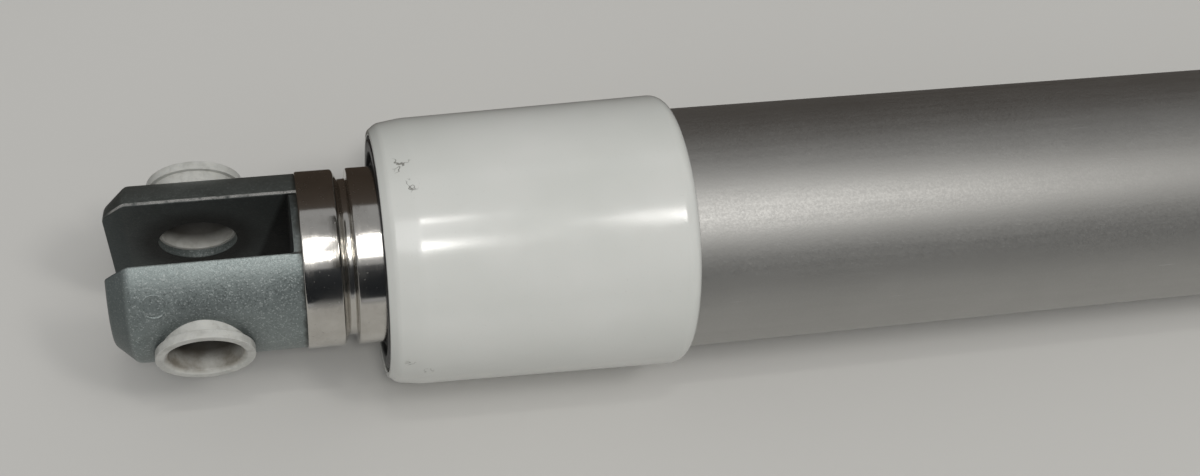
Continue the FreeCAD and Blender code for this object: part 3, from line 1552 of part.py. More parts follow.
def make_sensor_board():
    """The board round the motor shaft, with two sensor chips that face the magnet ring."""
    half_wide = size.shell_depth - wall - size.seat_gap
    thickness = size.board_thickness
    body = new_body("sensor_board", (wheel_x, board_y, 0.0))
    sketch = new_sketch(body, "XZ_Plane")
    draw_box(sketch, -half_wide, -size.board_bottom, half_wide, size.board_top)
    draw_circle(sketch, 0.0, worm_height, size.board_hole)
    pad(body, sketch, thickness, along=1)
    chips = new_sketch(body, "XZ_Plane", lift=thickness)
    half = size.chip_size / 2
    chip_z = worm_height - size.board_hole - OVERRUN
    for chip_x in (-size.chip_size, size.chip_size):
        draw_box(chips, chip_x - half, chip_z - size.chip_size, chip_x + half, chip_z)
    pad(body, chips, size.chip_thickness, along=1)
    terminal = new_sketch(body, "XZ_Plane", lift=thickness)
    half = size.terminal_length / 2
    bottom = size.terminal_margin - size.board_bottom
    draw_box(terminal, -half, bottom, half, bottom + size.terminal_height)
    pad(body, terminal, size.terminal_margin, along=1)


def make_inlet():
    """The power inlet: a flanged socket behind the window, with two contact pins on its floor."""
    depth = size.inlet_depth
    mouth_x = housing_rear_x - size.inlet_setback
    body = new_body("inlet_socket", (mouth_x, size.inlet_place, -size.inlet_height))
    half_width = size.inlet_width / 2
    half_tall = size.inlet_tall / 2
    body_sketch = new_sketch(body, "YZ_Plane")
    draw_box(body_sketch, -half_width, -half_tall, half_width, half_tall)
    pad(body, body_sketch, depth, along=-1)
    flange_front = wall + size.seat_gap - size.inlet_setback
    flange = new_sketch(body, "YZ_Plane", lift=-flange_front)
    reach = size.inlet_flange
    draw_box(flange, -half_width - reach, -half_tall - reach, half_width + reach, half_tall + reach)
    pad(body, flange, size.inlet_flange_thickness, along=-1)
    recess = new_sketch(body, "YZ_Plane")
    inner = size.inlet_wall
    draw_box(recess, inner - half_width, inner - half_tall, half_width - inner, half_tall - inner)
    floor = depth - size.inlet_floor
    pocket(body, recess, floor, along=-1)
    pin_hole = size.contact_radius + size.press_fit
    holes = [(size.contact_pitch / 2, 0.0, pin_hole), (-size.contact_pitch / 2, 0.0, pin_hole)]
    drill(body, "YZ_Plane", holes, depth + OVERRUN, along=-1)
    pins = []
    for side in (1, -1):
        place = (mouth_x - floor, size.inlet_place + size.contact_pitch / 2 * side, -size.inlet_height)
        pin = ring(-size.contact_tail, size.contact_length, 0.0, size.contact_radius, size.fine_chamfer)
        pins.append(turned(f"contact_pin_{len(pins) + 1}", pin, place, listed=False))
    group("contact_pins", pins)


make_outer_tube()
make_front_cap()
make_guide_bush()
make_front_shell()
make_rear_shell()
make_housing_screws()
make_tube_flange()
make_support_bush()
make_ties()
make_bearing_plate()
make_rear_clevis()
make_ear_bush("rear_bush_near", 0.0, -1)
make_ear_bush("rear_bush_far", 0.0, 1)
make_motor_case()
make_motor_field()
make_worm_end_bush()
make_sensor_board()
make_inlet()
make_piston_tube()
make_fork_head()
make_ear_bush("fork_bush_near", fork_x, -1)
make_ear_bush("fork_bush_far", fork_x, 1)
make_nut()
make_nut_pins()
make_piston_small_parts()
make_spindle()
make_spindle_end()
make_worm_wheel()
make_wheel_hub()
make_bearing()
make_lock_nut()
make_rotor()
make_worm()
doc.recompute()

for item in doc.Objects:
    if "Invalid" in item.State or "Error" in item.State:
        raise ValueError(f"{item.Label} is in the state {item.State}")
    if item.isDerivedFrom("Sketcher::SketchObject") and not item.FullyConstrained:
        raise ValueError(f"{item.Label} is not fully constrained")
for node in nodes:
    if node.Shape.isNull() or not node.Shape.isValid():
        raise ValueError(f"{node.Label} has no valid shape")

os.makedirs("parts", exist_ok=True)
for node in nodes:
    node.Shape.exportStep(f"parts/{node.Label}.step")
    print(f"{node.Label}: {len(node.Shape.Solids)} solids, {node.Shape.Volume:.1f} mm3")
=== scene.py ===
# %% [markdown]
# # An electric linear actuator, dressed for its picture
# The solids of the actuator come from the CAD model and stay where they are. This script puts
# smooth, softly edged pieces over the ones that show, gives every piece a finish made of nodes,
# and lights the whole on a plain pale floor.

# %% Load the frame
import bmesh
import bpy
import math
from mathutils import Matrix, Vector


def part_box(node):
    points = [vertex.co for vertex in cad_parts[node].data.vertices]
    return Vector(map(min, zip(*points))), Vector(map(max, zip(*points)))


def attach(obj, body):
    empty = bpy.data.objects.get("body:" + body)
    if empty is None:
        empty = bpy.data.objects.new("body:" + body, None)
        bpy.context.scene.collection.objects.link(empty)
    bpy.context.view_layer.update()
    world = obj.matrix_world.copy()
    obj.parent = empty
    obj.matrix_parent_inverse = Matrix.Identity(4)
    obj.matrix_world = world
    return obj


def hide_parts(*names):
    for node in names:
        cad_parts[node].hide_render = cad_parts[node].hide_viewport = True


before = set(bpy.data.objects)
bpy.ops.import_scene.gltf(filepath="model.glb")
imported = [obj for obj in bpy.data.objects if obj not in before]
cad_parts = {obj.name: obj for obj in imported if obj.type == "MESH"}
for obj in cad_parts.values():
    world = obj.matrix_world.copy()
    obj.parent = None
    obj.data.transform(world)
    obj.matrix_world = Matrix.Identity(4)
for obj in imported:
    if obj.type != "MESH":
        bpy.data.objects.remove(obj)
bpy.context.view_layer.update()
print("nodes in the frame:", len(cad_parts))

# %% [markdown]
# Blender works in metres, but every size of this object is easier to read in millimetres, so one
# constant turns one into the other. Places along the tube are distances from the rear bore, which
# is the origin of the frame. The fork's bore lies in front of it, on the negative side of X.

# %% Millimetres and the two bores
MM = 0.001
FORK_X = -375.0
REAR_X = 0.0
print(f"from bore to bore: {REAR_X - FORK_X} mm")

# %% [markdown]
# Most of what shows is turned on a lathe: the tubes, the cap, the guide ring and the bushes. They
# could be stacked from cylinders, but one drawn outline gives each shoulder its true place. The
# outline is a closed wire of places along the axis and radii. A corner with a third number is
# bevelled as a vertex, which gives it an arc of that radius, and the wire is then spun a full turn.

# %% Lathe work in bmesh
ROUND_STEPS = 192
SEAM_GAP = 1e-7


def lathe_outline(corners, arc_segments=5):
    """A closed wire in the XY plane, rounded where a corner has a third number."""
    wire = bmesh.new()
    verts = [wire.verts.new((corner[0] * MM, corner[1] * MM, 0.0)) for corner in corners]
    for pair in zip(verts, verts[1:] + verts[:1]):
        wire.edges.new(pair)
    places = [vert.co.copy() for vert in verts]
    for i, corner in enumerate(corners):
        if len(corner) < 3:
            continue
        before = places[i - 1] - places[i]
        after = places[(i + 1) % len(places)] - places[i]
        reach = corner[2] * MM / math.tan(before.angle(after) / 2)
        bmesh.ops.bevel(
            wire, geom=[verts[i]], offset=reach, offset_type="OFFSET", segments=arc_segments,
            profile=0.5, affect="VERTICES", material=-1, clamp_overlap=False,
        )
    return wire


def spin_round(wire, steps=ROUND_STEPS):
    """Spins an outline a full turn about X and closes its seam and its poles."""
    bmesh.ops.spin(
        wire, geom=wire.verts[:] + wire.edges[:], cent=(0, 0, 0), axis=(1, 0, 0), dvec=(0, 0, 0),
        angle=2 * math.pi, steps=steps, use_merge=True, use_normal_flip=False, use_duplicate=False,
    )
    bmesh.ops.remove_doubles(wire, verts=wire.verts[:], dist=SEAM_GAP)
    bmesh.ops.recalc_face_normals(wire, faces=wire.faces[:])
    return wire


print(f"a full turn has {ROUND_STEPS} steps")

# %% [markdown]
# A bmesh becomes an object once it is done. Its faces are shaded smooth, with a hard line only
# where they meet at a clear angle, so that a lathe's steps don't show but a real edge does. Each
# piece then rides on a body of the mechanism and takes the place of the solid it stands for.

# %% From bmesh to a piece
SHARP_FROM = 35.0


def place_mesh(bm, name):
    """Turns a bmesh into an object at the origin, smooth except where its faces meet sharply."""
    mesh = bpy.data.meshes.new(name)
    bm.to_mesh(mesh)
    bm.free()
    mesh.shade_smooth()
    mesh.set_sharp_from_angle(angle=math.radians(SHARP_FROM))
    piece = bpy.data.objects.new(name, mesh)
    bpy.context.scene.collection.objects.link(piece)
    return piece


def stand_in_for(piece, body, nodes, material):
    """The new piece rides on its body, takes the place of its nodes and wears its finish."""
    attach(piece, body)
    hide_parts(*nodes)
    piece.data.materials.clear()
    piece.data.materials.append(material)
    print(f"{piece.name}: {len(piece.data.polygons)} faces for {', '.join(nodes)}")


print(f"faces that meet at over {SHARP_FROM} degrees keep a hard edge")

# %% [markdown]
# A finish is a Principled shader with a little network of nodes in front of it. The network could
# be drawn by hand in the shader editor, but as calls it stays short: one adds a node and joins its
# inputs, and the others give the noise, the ramps, the stains and the bump that nearly every
# surface needs. All patterns read Object coordinates, which are metres here, so a noise scale of
# 1000 is a pattern about a millimetre across.

# %% Helpers for finishes
MIX_AMOUNT, MIX_FIRST, MIX_SECOND, MIX_RESULT = 0, 6, 7, 2


def is_socket(value):
    return isinstance(value, bpy.types.NodeSocket)


class Finish:
    """A material with its shader and short calls for the nodes in front of it."""

    def __init__(self, name, colour, metallic=0.0, roughness=0.5):
        self.material = bpy.data.materials.new(name)
        self.material.use_nodes = True
        self.tree = self.material.node_tree
        self.shader = self.tree.nodes["Principled BSDF"]
        self.shader.inputs["Base Color"].default_value = (*colour, 1.0)
        self.shader.inputs["Metallic"].default_value = metallic
        self.shader.inputs["Roughness"].default_value = roughness
        self.place = self.add("ShaderNodeTexCoord").outputs["Object"]

    def add(self, kind, inputs=None, **settings):
        """Adds a node with its settings. An input is joined to a socket or set to a value."""
        node = self.tree.nodes.new(kind)
        for name, value in settings.items():
            setattr(node, name, value)
        for name, value in (inputs or {}).items():
            if is_socket(value):
                self.tree.links.new(value, node.inputs[name])
            else:
                node.inputs[name].default_value = value
        return node

    def coordinate(self, axis):
        return self.add("ShaderNodeSeparateXYZ", {"Vector": self.place}).outputs[axis]

    def stretched(self, stretch, centre=(0.0, 0.0, 0.0)):
        """The place, scaled along each axis away from a centre."""
        offset = [-c * s for c, s in zip(centre, stretch)]
        inputs = {"Vector": self.place, "Scale": stretch, "Location": offset}
        return self.add("ShaderNodeMapping", inputs).outputs[0]

    def distance_from(self, point_mm):
        point = [c * MM for c in point_mm]
        inputs = {0: self.place, 1: point}
        return self.add("ShaderNodeVectorMath", inputs, operation="DISTANCE").outputs["Value"]

    def distance_from_pin(self, pin_x):
        """The distance from the axis of a pin, which runs along Y."""
        off_axis = self.stretched((1.0, 0.0, 1.0), centre=(pin_x * MM, 0.0, 0.0))
        return self.add("ShaderNodeVectorMath", {0: off_axis}, operation="LENGTH").outputs["Value"]

    def noise(self, scale, detail=2.0, rough=0.5, along=None):
        where = along if along is not None else self.place
        inputs = {"Vector": where, "Scale": scale, "Detail": detail, "Roughness": rough}
        return self.add("ShaderNodeTexNoise", inputs).outputs["Fac"]

    def maths(self, first, second, how):
        return self.add("ShaderNodeMath", {0: first, 1: second}, operation=how).outputs[0]

    def plus(self, first, second):
        return self.maths(first, second, "ADD")

    def minus(self, first, second):
        return self.maths(first, second, "SUBTRACT")

    def times(self, first, second):
        return self.maths(first, second, "MULTIPLY")

    def size_of(self, value):
        return self.maths(value, 0.0, "ABSOLUTE")

    def span(self, value, low, high, to_low=0.0, to_high=1.0):
        """Goes from one number to another while a value goes from low to high."""
        ends = {"From Min": low, "From Max": high, "To Min": to_low, "To Max": to_high}
        return self.add("ShaderNodeMapRange", {"Value": value, **ends}).outputs["Result"]

    def zone(self, length, start, end, to_start=0.0, to_end=1.0):
        """A span of a length, between two places in millimetres."""
        return self.span(length, start * MM, end * MM, to_start, to_end)

    def band(self, length, centre, half_width, soft):
        """One inside a band, fading to zero over a soft edge. The sizes are millimetres."""
        away = self.size_of(self.minus(length, centre * MM))
        return self.zone(away, half_width + soft, half_width)

    def blend(self, amount, first, second):
        """Goes from the first colour to the second as the amount goes from zero to one."""
        first, second = (c if is_socket(c) else (*c, 1.0) for c in (first, second))
        inputs = {MIX_AMOUNT: amount, MIX_FIRST: first, MIX_SECOND: second}
        return self.add("ShaderNodeMix", inputs, data_type="RGBA").outputs[MIX_RESULT]

    def stain(self, colour, where, strength, tint):
        """Takes a colour towards a tint where a mask is one, as far as the strength."""
        return self.blend(self.times(where, strength), colour, tint)

    def bump(self, height, strength, distance, under=None):
        inputs = {"Height": height, "Strength": strength, "Distance": distance}
        if under is not None:
            inputs["Normal"] = under
        return self.add("ShaderNodeBump", inputs).outputs["Normal"]

    def wear(self, **sockets):
        """Joins finished outputs to the shader's own sockets."""
        for name, output in sockets.items():
            self.tree.links.new(output, self.shader.inputs[name.replace("_", " ").title()])
        print(f"finish {self.material.name}: {len(self.tree.nodes)} nodes")
        return self.material


# %% [markdown]
# ## Finishes
# The white cap and housing are moulded plastic with a high gloss. A plain glossy white would look
# like porcelain. What keeps it from that is a very shallow waviness from the mould and fine dust.
# The colour hardly changes; the roughness and the bump do the work. The cap has a few dark scuffs
# as well, where something rubbed its front edge. They are thin crooked lines, found where a noise
# passes its middle value.

# %% White moulded plastic
def add_scuffs(finish, colour, rough, scuff_places):
    """Darkens and roughens thin crooked lines near each place, out to its reach."""
    from_middle = finish.size_of(finish.minus(finish.noise(520.0, 2.5, 0.6), 0.5))
    squiggles = finish.span(from_middle, 0.026, 0.008)
    for place, reach in scuff_places:
        near = finish.zone(finish.distance_from(place), reach, reach * 0.55)
        scuff = finish.times(near, squiggles)
        colour = finish.stain(colour, scuff, 0.75, (0.10, 0.095, 0.08))
        rough = finish.plus(rough, finish.times(scuff, 0.3))
    return colour, rough


def make_white_plastic(name, scuff_places=()):
    finish = Finish(name, (0.60, 0.605, 0.575), roughness=0.2)
    tone = finish.span(finish.noise(55.0, 3.0), 0.35, 0.7)
    colour = finish.blend(tone, (0.575, 0.583, 0.552), (0.62, 0.623, 0.595))
    dust = finish.span(finish.noise(2600.0, 2.0, 0.6), 0.67, 0.75)
    colour = finish.stain(colour, dust, 0.2, (0.42, 0.42, 0.40))
    rough = finish.span(finish.noise(240.0, 4.0), 0.3, 0.8, 0.13, 0.24)
    if scuff_places:
        colour, rough = add_scuffs(finish, colour, rough, scuff_places)
    wave = finish.bump(finish.noise(70.0, 2.0), 0.12, 0.0006)
    grain = finish.bump(finish.noise(3800.0, 3.0), 0.08, 0.00006, under=wave)
    finish.shader.inputs["IOR"].default_value = 1.5
    finish.shader.inputs["Subsurface Weight"].default_value = 0.06
    finish.shader.inputs["Subsurface Radius"].default_value = (0.0012, 0.001, 0.0009)
    return finish.wear(base_color=colour, roughness=rough, normal=grain)


# Places of the grey scuffs on the cap, in millimetres, each with its reach
CAP_SCUFFS = (
    ((-347.2, 4.2, 18.4), 1.6), ((-347.5, 2.8, 18.7), 0.8), ((-346.2, 0.3, 18.9), 1.2),
    ((-347.9, -18.7, 2.9), 0.9), ((-345.4, -18.9, 0.6), 0.9),
)
CAP_PLASTIC = make_white_plastic("cap_moulding", CAP_SCUFFS)
HOUSING_PLASTIC = make_white_plastic("housing_moulding")

# %% [markdown]
# Die-cast zinc is matt and slightly blue-green. Close up it sparkles, because the skin of the
# casting is a mass of tiny crystals that each face another way. A smooth noise can't do that. A
# texture of small cells gives every crystal its own brightness and roughness, and a larger noise
# gives the dull patches that the die leaves. Grease darkens the metal round the pin's hole and dirt
# settles at the shoulder. Painted shade darkens the slot, the cone at the tip and the top of the
# far ear, a painted shadow blackens the corners at the slot's end, and a painted highlight lies
# along an upper edge beside the slot.

# %% Die-cast zinc
def make_cast_zinc(name, pin_x, towards_tip, far_ear_shade):
    finish = Finish(name, (0.20, 0.24, 0.24), metallic=0.7, roughness=0.5)
    along, across, height = (finish.coordinate(axis) for axis in "XYZ")
    tip = finish.times(finish.minus(along, pin_x * MM), towards_tip)

    # Crystals and dull patches
    crystals = finish.add("ShaderNodeTexVoronoi", {"Vector": finish.place, "Scale": 6200.0})
    split = finish.add("ShaderNodeSeparateColor", {"Color": crystals.outputs["Color"]})
    sparkle = split.outputs["Red"]
    patches = finish.noise(160.0, 5.0, 0.6)
    patchy = finish.span(patches, 0.3, 0.72)
    colour = finish.blend(patchy, (0.185, 0.215, 0.212), (0.27, 0.305, 0.30))
    colour = finish.stain(colour, finish.span(sparkle, 0.80, 1.0), 0.5, (0.60, 0.64, 0.63))
    colour = finish.stain(colour, finish.span(sparkle, 0.22, 0.0), 0.4, (0.08, 0.09, 0.09))

    # Painted shade in the slot, on the cone at the tip and on the upper half of the far ear
    slot_walls = finish.band(across, 0.0, 4.55, 0.15)
    colour = finish.stain(colour, slot_walls, 0.72, (0.030, 0.032, 0.030))
    cone = finish.zone(tip, 9.2, 9.8)
    colour = finish.stain(colour, cone, 0.62, (0.065, 0.08, 0.08))
    far_ear = finish.times(finish.zone(across, 4.4, 5.4), finish.zone(height, 0.0, 6.0))
    colour = finish.stain(colour, far_ear, far_ear_shade, (0.075, 0.08, 0.07))

    # Grease round the pin's hole, with an uneven edge
    uneven = finish.span(finish.noise(420.0, 3.0), 0.0, 1.0, -0.9 * MM, 0.9 * MM)
    near_pin = finish.zone(finish.plus(uneven, finish.distance_from_pin(pin_x)), 9.4, 6.6)
    grease = finish.times(near_pin, finish.span(slot_walls, 0.0, 1.0, 0.22, 0.72))
    colour = finish.blend(grease, colour, (0.018, 0.016, 0.014))

    # A painted shadow that blackens the corners at the slot's end, and the dirty line at the
    # shoulder
    ear_walls = finish.band(finish.size_of(across), 4.5, 0.12, 0.05)
    sloping = finish.plus(tip, finish.times(height, 0.24))
    corner = finish.times(ear_walls, finish.zone(sloping, -9.2, -10.0))
    colour = finish.stain(colour, corner, 0.85, (0.006, 0.006, 0.005))
    ragged = finish.span(finish.noise(500.0, 4.0), 0.3, 0.7, 0.0, 0.6 * MM)
    shoulder = finish.band(finish.plus(tip, ragged), -13.85, 0.35, 0.6)
    colour = finish.stain(colour, shoulder, 0.8, (0.03, 0.03, 0.025))

    # A painted highlight along the upper edge of the far ear, beside the slot, with a lower
    # roughness
    edge = finish.times(finish.band(across, 4.97, 0.2, 0.12), finish.zone(height, 8.5, 10.0))
    edge_highlight = finish.times(edge, finish.span(finish.noise(700.0, 4.0, 0.7), 0.30, 0.52))
    colour = finish.stain(colour, edge_highlight, 0.92, (0.90, 0.91, 0.89))

    rough = finish.span(finish.plus(sparkle, patches), 0.3, 1.6, 0.36, 0.6)
    rough = finish.plus(rough, finish.times(edge_highlight, -0.2))
    coarse = finish.bump(finish.noise(2100.0, 4.0, 0.65), 0.36, 0.0001)
    facets = finish.bump(sparkle, 0.28, 0.00004, under=coarse)
    return finish.wear(base_color=colour, roughness=rough, normal=facets)


# The last number is the strength of the painted shade on the top of the far ear
FORK_ZINC = make_cast_zinc("cast_zinc_fork", FORK_X, towards_tip=-1.0, far_ear_shade=0.62)
REAR_ZINC = make_cast_zinc("cast_zinc_rear", REAR_X, towards_tip=1.0, far_ear_shade=0.15)

# %% [markdown]
# The piston tube is ground and polished stainless steel. Its picture is almost all reflection, so
# painting it would only dull it. The network just breaks the reflection up: fine rings left by the
# grinding belt, cloudy finger marks that raise the roughness, and specks of dust.

# %% Polished tube
def make_polished_steel():
    finish = Finish("polished_tube", (0.66, 0.64, 0.61), metallic=1.0, roughness=0.1)
    rings = finish.noise(1.0, 4.0, 0.7, along=finish.stretched((9000.0, 300.0, 300.0)))
    clouds = finish.span(finish.noise(210.0, 5.0, 0.6), 0.45, 0.72)
    specks = finish.span(finish.noise(2300.0, 2.0, 0.6), 0.69, 0.75)
    rough = finish.span(rings, 0.25, 0.75, 0.07, 0.16)
    rough = finish.plus(rough, finish.times(clouds, 0.14))
    rough = finish.plus(rough, finish.times(specks, 0.3))
    colour = finish.blend(clouds, (0.62, 0.60, 0.565), (0.52, 0.50, 0.465))
    colour = finish.stain(colour, specks, 0.6, (0.25, 0.23, 0.20))
    relief = finish.bump(rings, 0.10, 0.00001)
    return finish.wear(base_color=colour, roughness=rough, normal=relief)


POLISHED_STEEL = make_polished_steel()

# %% [markdown]
# The outer tube is drawn aluminium, blasted with fine beads and anodised to a satin. A higher
# roughness alone would look like paint. The blasting breaks its reflections into a soft grain, and
# only a trace is left of the straight lines from drawing, so the stretched noise is weak and the
# fine round one is strong. A few scratches show, on a noise stretched and turned off the axis.

# %% Anodised tube
def make_anodised_aluminium():
    finish = Finish("anodised_tube", (0.56, 0.555, 0.54), metallic=1.0, roughness=0.55)
    blast = finish.noise(2900.0, 3.0, 0.7)
    lines = finish.noise(1.0, 3.0, 0.6, along=finish.stretched((30.0, 1100.0, 1100.0)))
    scratch_place = finish.add("ShaderNodeMapping", {
        "Vector": finish.place, "Scale": (90.0, 2200.0, 2200.0), "Rotation": (0.0, 0.12, 0.35),
    }).outputs[0]
    scratches = finish.span(finish.noise(1.0, 2.0, 0.5, along=scratch_place), 0.73, 0.78)
    bloom = finish.span(finish.noise(90.0, 4.0), 0.3, 0.7)
    colour = finish.blend(bloom, (0.455, 0.45, 0.435), (0.48, 0.475, 0.46))
    colour = finish.blend(finish.span(blast, 0.62, 0.78, 0.0, 0.3), colour, (0.80, 0.80, 0.79))
    colour = finish.stain(colour, scratches, 0.2, (0.85, 0.86, 0.87))
    rough = finish.span(blast, 0.25, 0.75, 0.48, 0.62)
    rough = finish.plus(rough, finish.span(lines, 0.3, 0.7, -0.02, 0.02))
    drawn = finish.bump(lines, 0.05, 0.00002)
    relief = finish.bump(blast, 0.30, 0.00003, under=drawn)
    return finish.wear(base_color=colour, roughness=rough, normal=relief)


ANODISED_TUBE = make_anodised_aluminium()

# %% [markdown]
# The pin bushes are nylon, off-white and slightly see-through, and they hold grease and dirt. The
# guide ring is a hard dark plastic, the seals are rubber, and the wheel inside is acetal. Each
# could have a network of its own, but one maker function serves them all with the numbers that
# tell them apart. Only the bushes get more: grease inside their bores, and painted shade where
# each bore is deepest.

# %% Plastics and rubber
def soil_and_shade_bore(finish, colour, pin_x):
    """Grease inside a pair of bushes, and painted shade where their bore is deepest."""
    inside = finish.zone(finish.distance_from_pin(pin_x), 5.6, 5.1)
    across = finish.coordinate("Y")
    patches = finish.span(finish.noise(330.0, 5.0, 0.6), 0.34, 0.62, 0.25, 1.0)
    mostly_near = finish.zone(across, 1.0, -1.0, 0.3, 1.0)
    greasy = finish.times(finish.times(inside, patches), mostly_near)
    colour = finish.stain(colour, greasy, 0.8, (0.16, 0.135, 0.10))
    # Painted shade where each bore is deepest, taken almost to black
    near_bore_shade = finish.times(finish.zone(across, -12.0, -10.0), finish.zone(across, 1.0, -1.0))
    bore_shade = finish.plus(near_bore_shade, finish.zone(across, 6.2, 8.2))
    return finish.stain(colour, finish.times(inside, bore_shade), 0.88, (0.030, 0.026, 0.020))


def make_plastic(name, colour, roughness, grime=0.0, grain=2400.0, glow=0.0, bores=()):
    finish = Finish(name, colour, roughness=roughness)
    lighter = tuple(min(1.0, c * 1.12 + 0.004) for c in colour)
    darker = tuple(c * 0.86 for c in colour)
    tone = finish.span(finish.noise(300.0, 4.0), 0.3, 0.7)
    tinted = finish.blend(tone, darker, lighter)
    dirt = finish.span(finish.noise(650.0, 6.0, 0.65), 0.48, 0.72)
    tinted = finish.stain(tinted, dirt, grime, (0.13, 0.12, 0.105))
    for pin_x in bores:
        tinted = soil_and_shade_bore(finish, tinted, pin_x)
    rough = finish.span(finish.noise(700.0, 4.0), 0.25, 0.75, roughness - 0.08, roughness + 0.1)
    relief = finish.bump(finish.noise(grain, 3.0, 0.6), 0.2, 0.00005)
    finish.shader.inputs["Subsurface Weight"].default_value = glow
    finish.shader.inputs["Subsurface Radius"].default_value = (0.001, 0.0009, 0.0007)
    return finish.wear(base_color=tinted, roughness=rough, normal=relief)


BUSH_NYLON = make_plastic(
    "bush_nylon", (0.50, 0.50, 0.47), 0.42, grime=0.35, glow=0.1, bores=(FORK_X, REAR_X),
)
NUT_PLASTIC = make_plastic("nut_plastic", (0.70, 0.69, 0.64), 0.4, grime=0.25, glow=0.1)
GUIDE_PLASTIC = make_plastic("guide_plastic", (0.018, 0.018, 0.02), 0.42, grime=0.15)
BLACK_PLASTIC = make_plastic("black_plastic", (0.02, 0.02, 0.022), 0.45)
BLACK_RUBBER = make_plastic("black_rubber", (0.016, 0.016, 0.016), 0.72, grain=1300.0)
WHEEL_ACETAL = make_plastic("wheel_acetal", (0.62, 0.55, 0.38), 0.38, glow=0.1)
BOARD_GREEN = make_plastic("board_green", (0.03, 0.13, 0.05), 0.4, grain=5200.0)
BRUSH_CARBON = make_plastic("brush_carbon", (0.03, 0.03, 0.032), 0.6, grain=5200.0)

# %% [markdown]
# Inside the housing are steel, zinc plate, bronze, copper and ferrite. They show only when the
# shells are taken off, so they share one network too: a metal's colour, mottled a little darker,
# and one fine noise that drives both its roughness and its relief.

# %% Metals
def make_metal(name, colour, roughness, grain=1800.0, mottle=0.2):
    finish = Finish(name, colour, metallic=1.0, roughness=roughness)
    darker = tuple(c * (1.0 - mottle) for c in colour)
    tone = finish.span(finish.noise(380.0, 5.0, 0.6), 0.3, 0.7)
    tinted = finish.blend(tone, darker, colour)
    lines = finish.noise(grain, 3.0, 0.65)
    rough = finish.span(lines, 0.25, 0.75, roughness - 0.07, roughness + 0.09)
    relief = finish.bump(lines, 0.15, 0.00002)
    return finish.wear(base_color=tinted, roughness=rough, normal=relief)


TURNED_STEEL = make_metal("turned_steel", (0.52, 0.52, 0.53), 0.3)
ZINC_PLATE = make_metal("zinc_plate", (0.62, 0.62, 0.60), 0.34, mottle=0.28)
CAN_STEEL = make_metal("can_steel", (0.48, 0.49, 0.50), 0.36)
CORE_STEEL = make_metal("core_steel", (0.30, 0.30, 0.32), 0.5)
BRONZE = make_metal("sintered_bronze", (0.55, 0.33, 0.14), 0.42, grain=3200.0)
COPPER = make_metal("copper", (0.72, 0.32, 0.16), 0.3, grain=3200.0)
FERRITE = make_metal("ferrite", (0.07, 0.07, 0.075), 0.62, grain=3200.0)
CAST_FLANGE = make_metal("cast_flange", (0.33, 0.35, 0.35), 0.52, mottle=0.3)

# %% [markdown]
# ## Pieces
# The outer tube is a plain drawn tube, cut square with its edges broken. Its ends are hidden in
# the cap and in the flange, but its silhouette is the longest line of the picture. A plain
# cylinder would have no wall and no broken edge, so its section is drawn and spun like the rest.

# %% Outer tube
TUBE_FRONT_X, TUBE_REAR_X = -346.0, -54.0
TUBE_RADIUS, TUBE_BORE, TUBE_EDGE = 17.5, 15.5, 0.3
outer_tube = place_mesh(spin_round(lathe_outline([
    (TUBE_FRONT_X, TUBE_BORE), (TUBE_FRONT_X, TUBE_RADIUS, TUBE_EDGE),
    (TUBE_REAR_X, TUBE_RADIUS, TUBE_EDGE), (TUBE_REAR_X, TUBE_BORE),
])), "tube_dressed")
stand_in_for(outer_tube, "barrel", ["outer_tube"], ANODISED_TUBE)

# %% [markdown]
# The cap's nose is one broad curve that starts almost square at the opening and runs into the
# barrel of the cap, which widens slightly towards the rear for its draft. A subdivided cage could
# give such a curve too, but arcs of known radii can be measured. The opening's edge and the rear
# edge are rounded.

# %% Front cap
CAP_X = -350.4
CAP_REAR_X = CAP_X + 42.9
CAP_SEAT_X = CAP_X + 4.4
front_cap = place_mesh(spin_round(lathe_outline([
    (CAP_X, 16.9, 0.12),  # the opening
    (CAP_X, 17.55, 0.25),
    (CAP_X + 1.15, 18.45, 1.6),  # the nose
    (CAP_X + 4.6, 18.95, 9.0),
    (CAP_REAR_X, 19.7, 2.2),  # the rear edge
    (CAP_REAR_X, 17.53, 0.3),
    (CAP_SEAT_X, 17.52),  # where the tube's end is seated
    (CAP_SEAT_X, 16.9),
], arc_segments=7)), "cap_dressed")
stand_in_for(front_cap, "barrel", ["front_cap"], CAP_PLASTIC)

# %% [markdown]
# Inside the cap's opening sits the dark guide ring, and in its bore a rubber wiper with a thin
# lip on the steel. Both are only a few millimetres of picture and could be one black ring, yet
# they draw the line between the steel and the white, so each is turned with its own edges.

# %% Guide ring and wiper
GUIDE_X = -350.5
GUIDE_REAR_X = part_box("guide_bush")[1].x / MM
guide_ring = place_mesh(spin_round(lathe_outline([
    (GUIDE_X, 14.5, 0.25),  # the front ring, which shows
    (GUIDE_X, 16.4, 0.5),
    (GUIDE_X + 4.5, 16.4, 0.2),
    (GUIDE_X + 4.5, 15.4),  # the long bush inside the tube
    (GUIDE_REAR_X, 15.4, 0.4),
    (GUIDE_REAR_X, 12.62, 0.2),
    (GUIDE_X + 3.0, 12.62),  # the seat of the wiper
    (GUIDE_X + 3.0, 14.5),
])), "guide_dressed")
stand_in_for(guide_ring, "barrel", ["guide_bush"], GUIDE_PLASTIC)
rod_wiper = place_mesh(spin_round(lathe_outline([
    (GUIDE_X + 0.2, 12.55, 0.1),  # the lip on the steel
    (GUIDE_X + 0.2, 12.95, 0.15),
    (GUIDE_X + 0.9, 13.5, 0.3),  # the hollow round the lip
    (GUIDE_X + 0.5, 14.4, 0.2),
    (GUIDE_X + 2.9, 14.4),  # the back, in its seat
    (GUIDE_X + 2.9, 12.9),
    (GUIDE_X + 1.6, 12.7),
])), "wiper_dressed")
stand_in_for(rod_wiper, "barrel", ["rod_wiper"], BLACK_RUBBER)

# %% [markdown]
# A groove is rolled into the piston tube to lock it to the fork. Cutting a ring out of the tube
# would leave sharp edges. Rolling leaves soft shoulders: the metal bends into the groove over a
# millimetre and out again, and the bore bends with it, so both are in the outline.

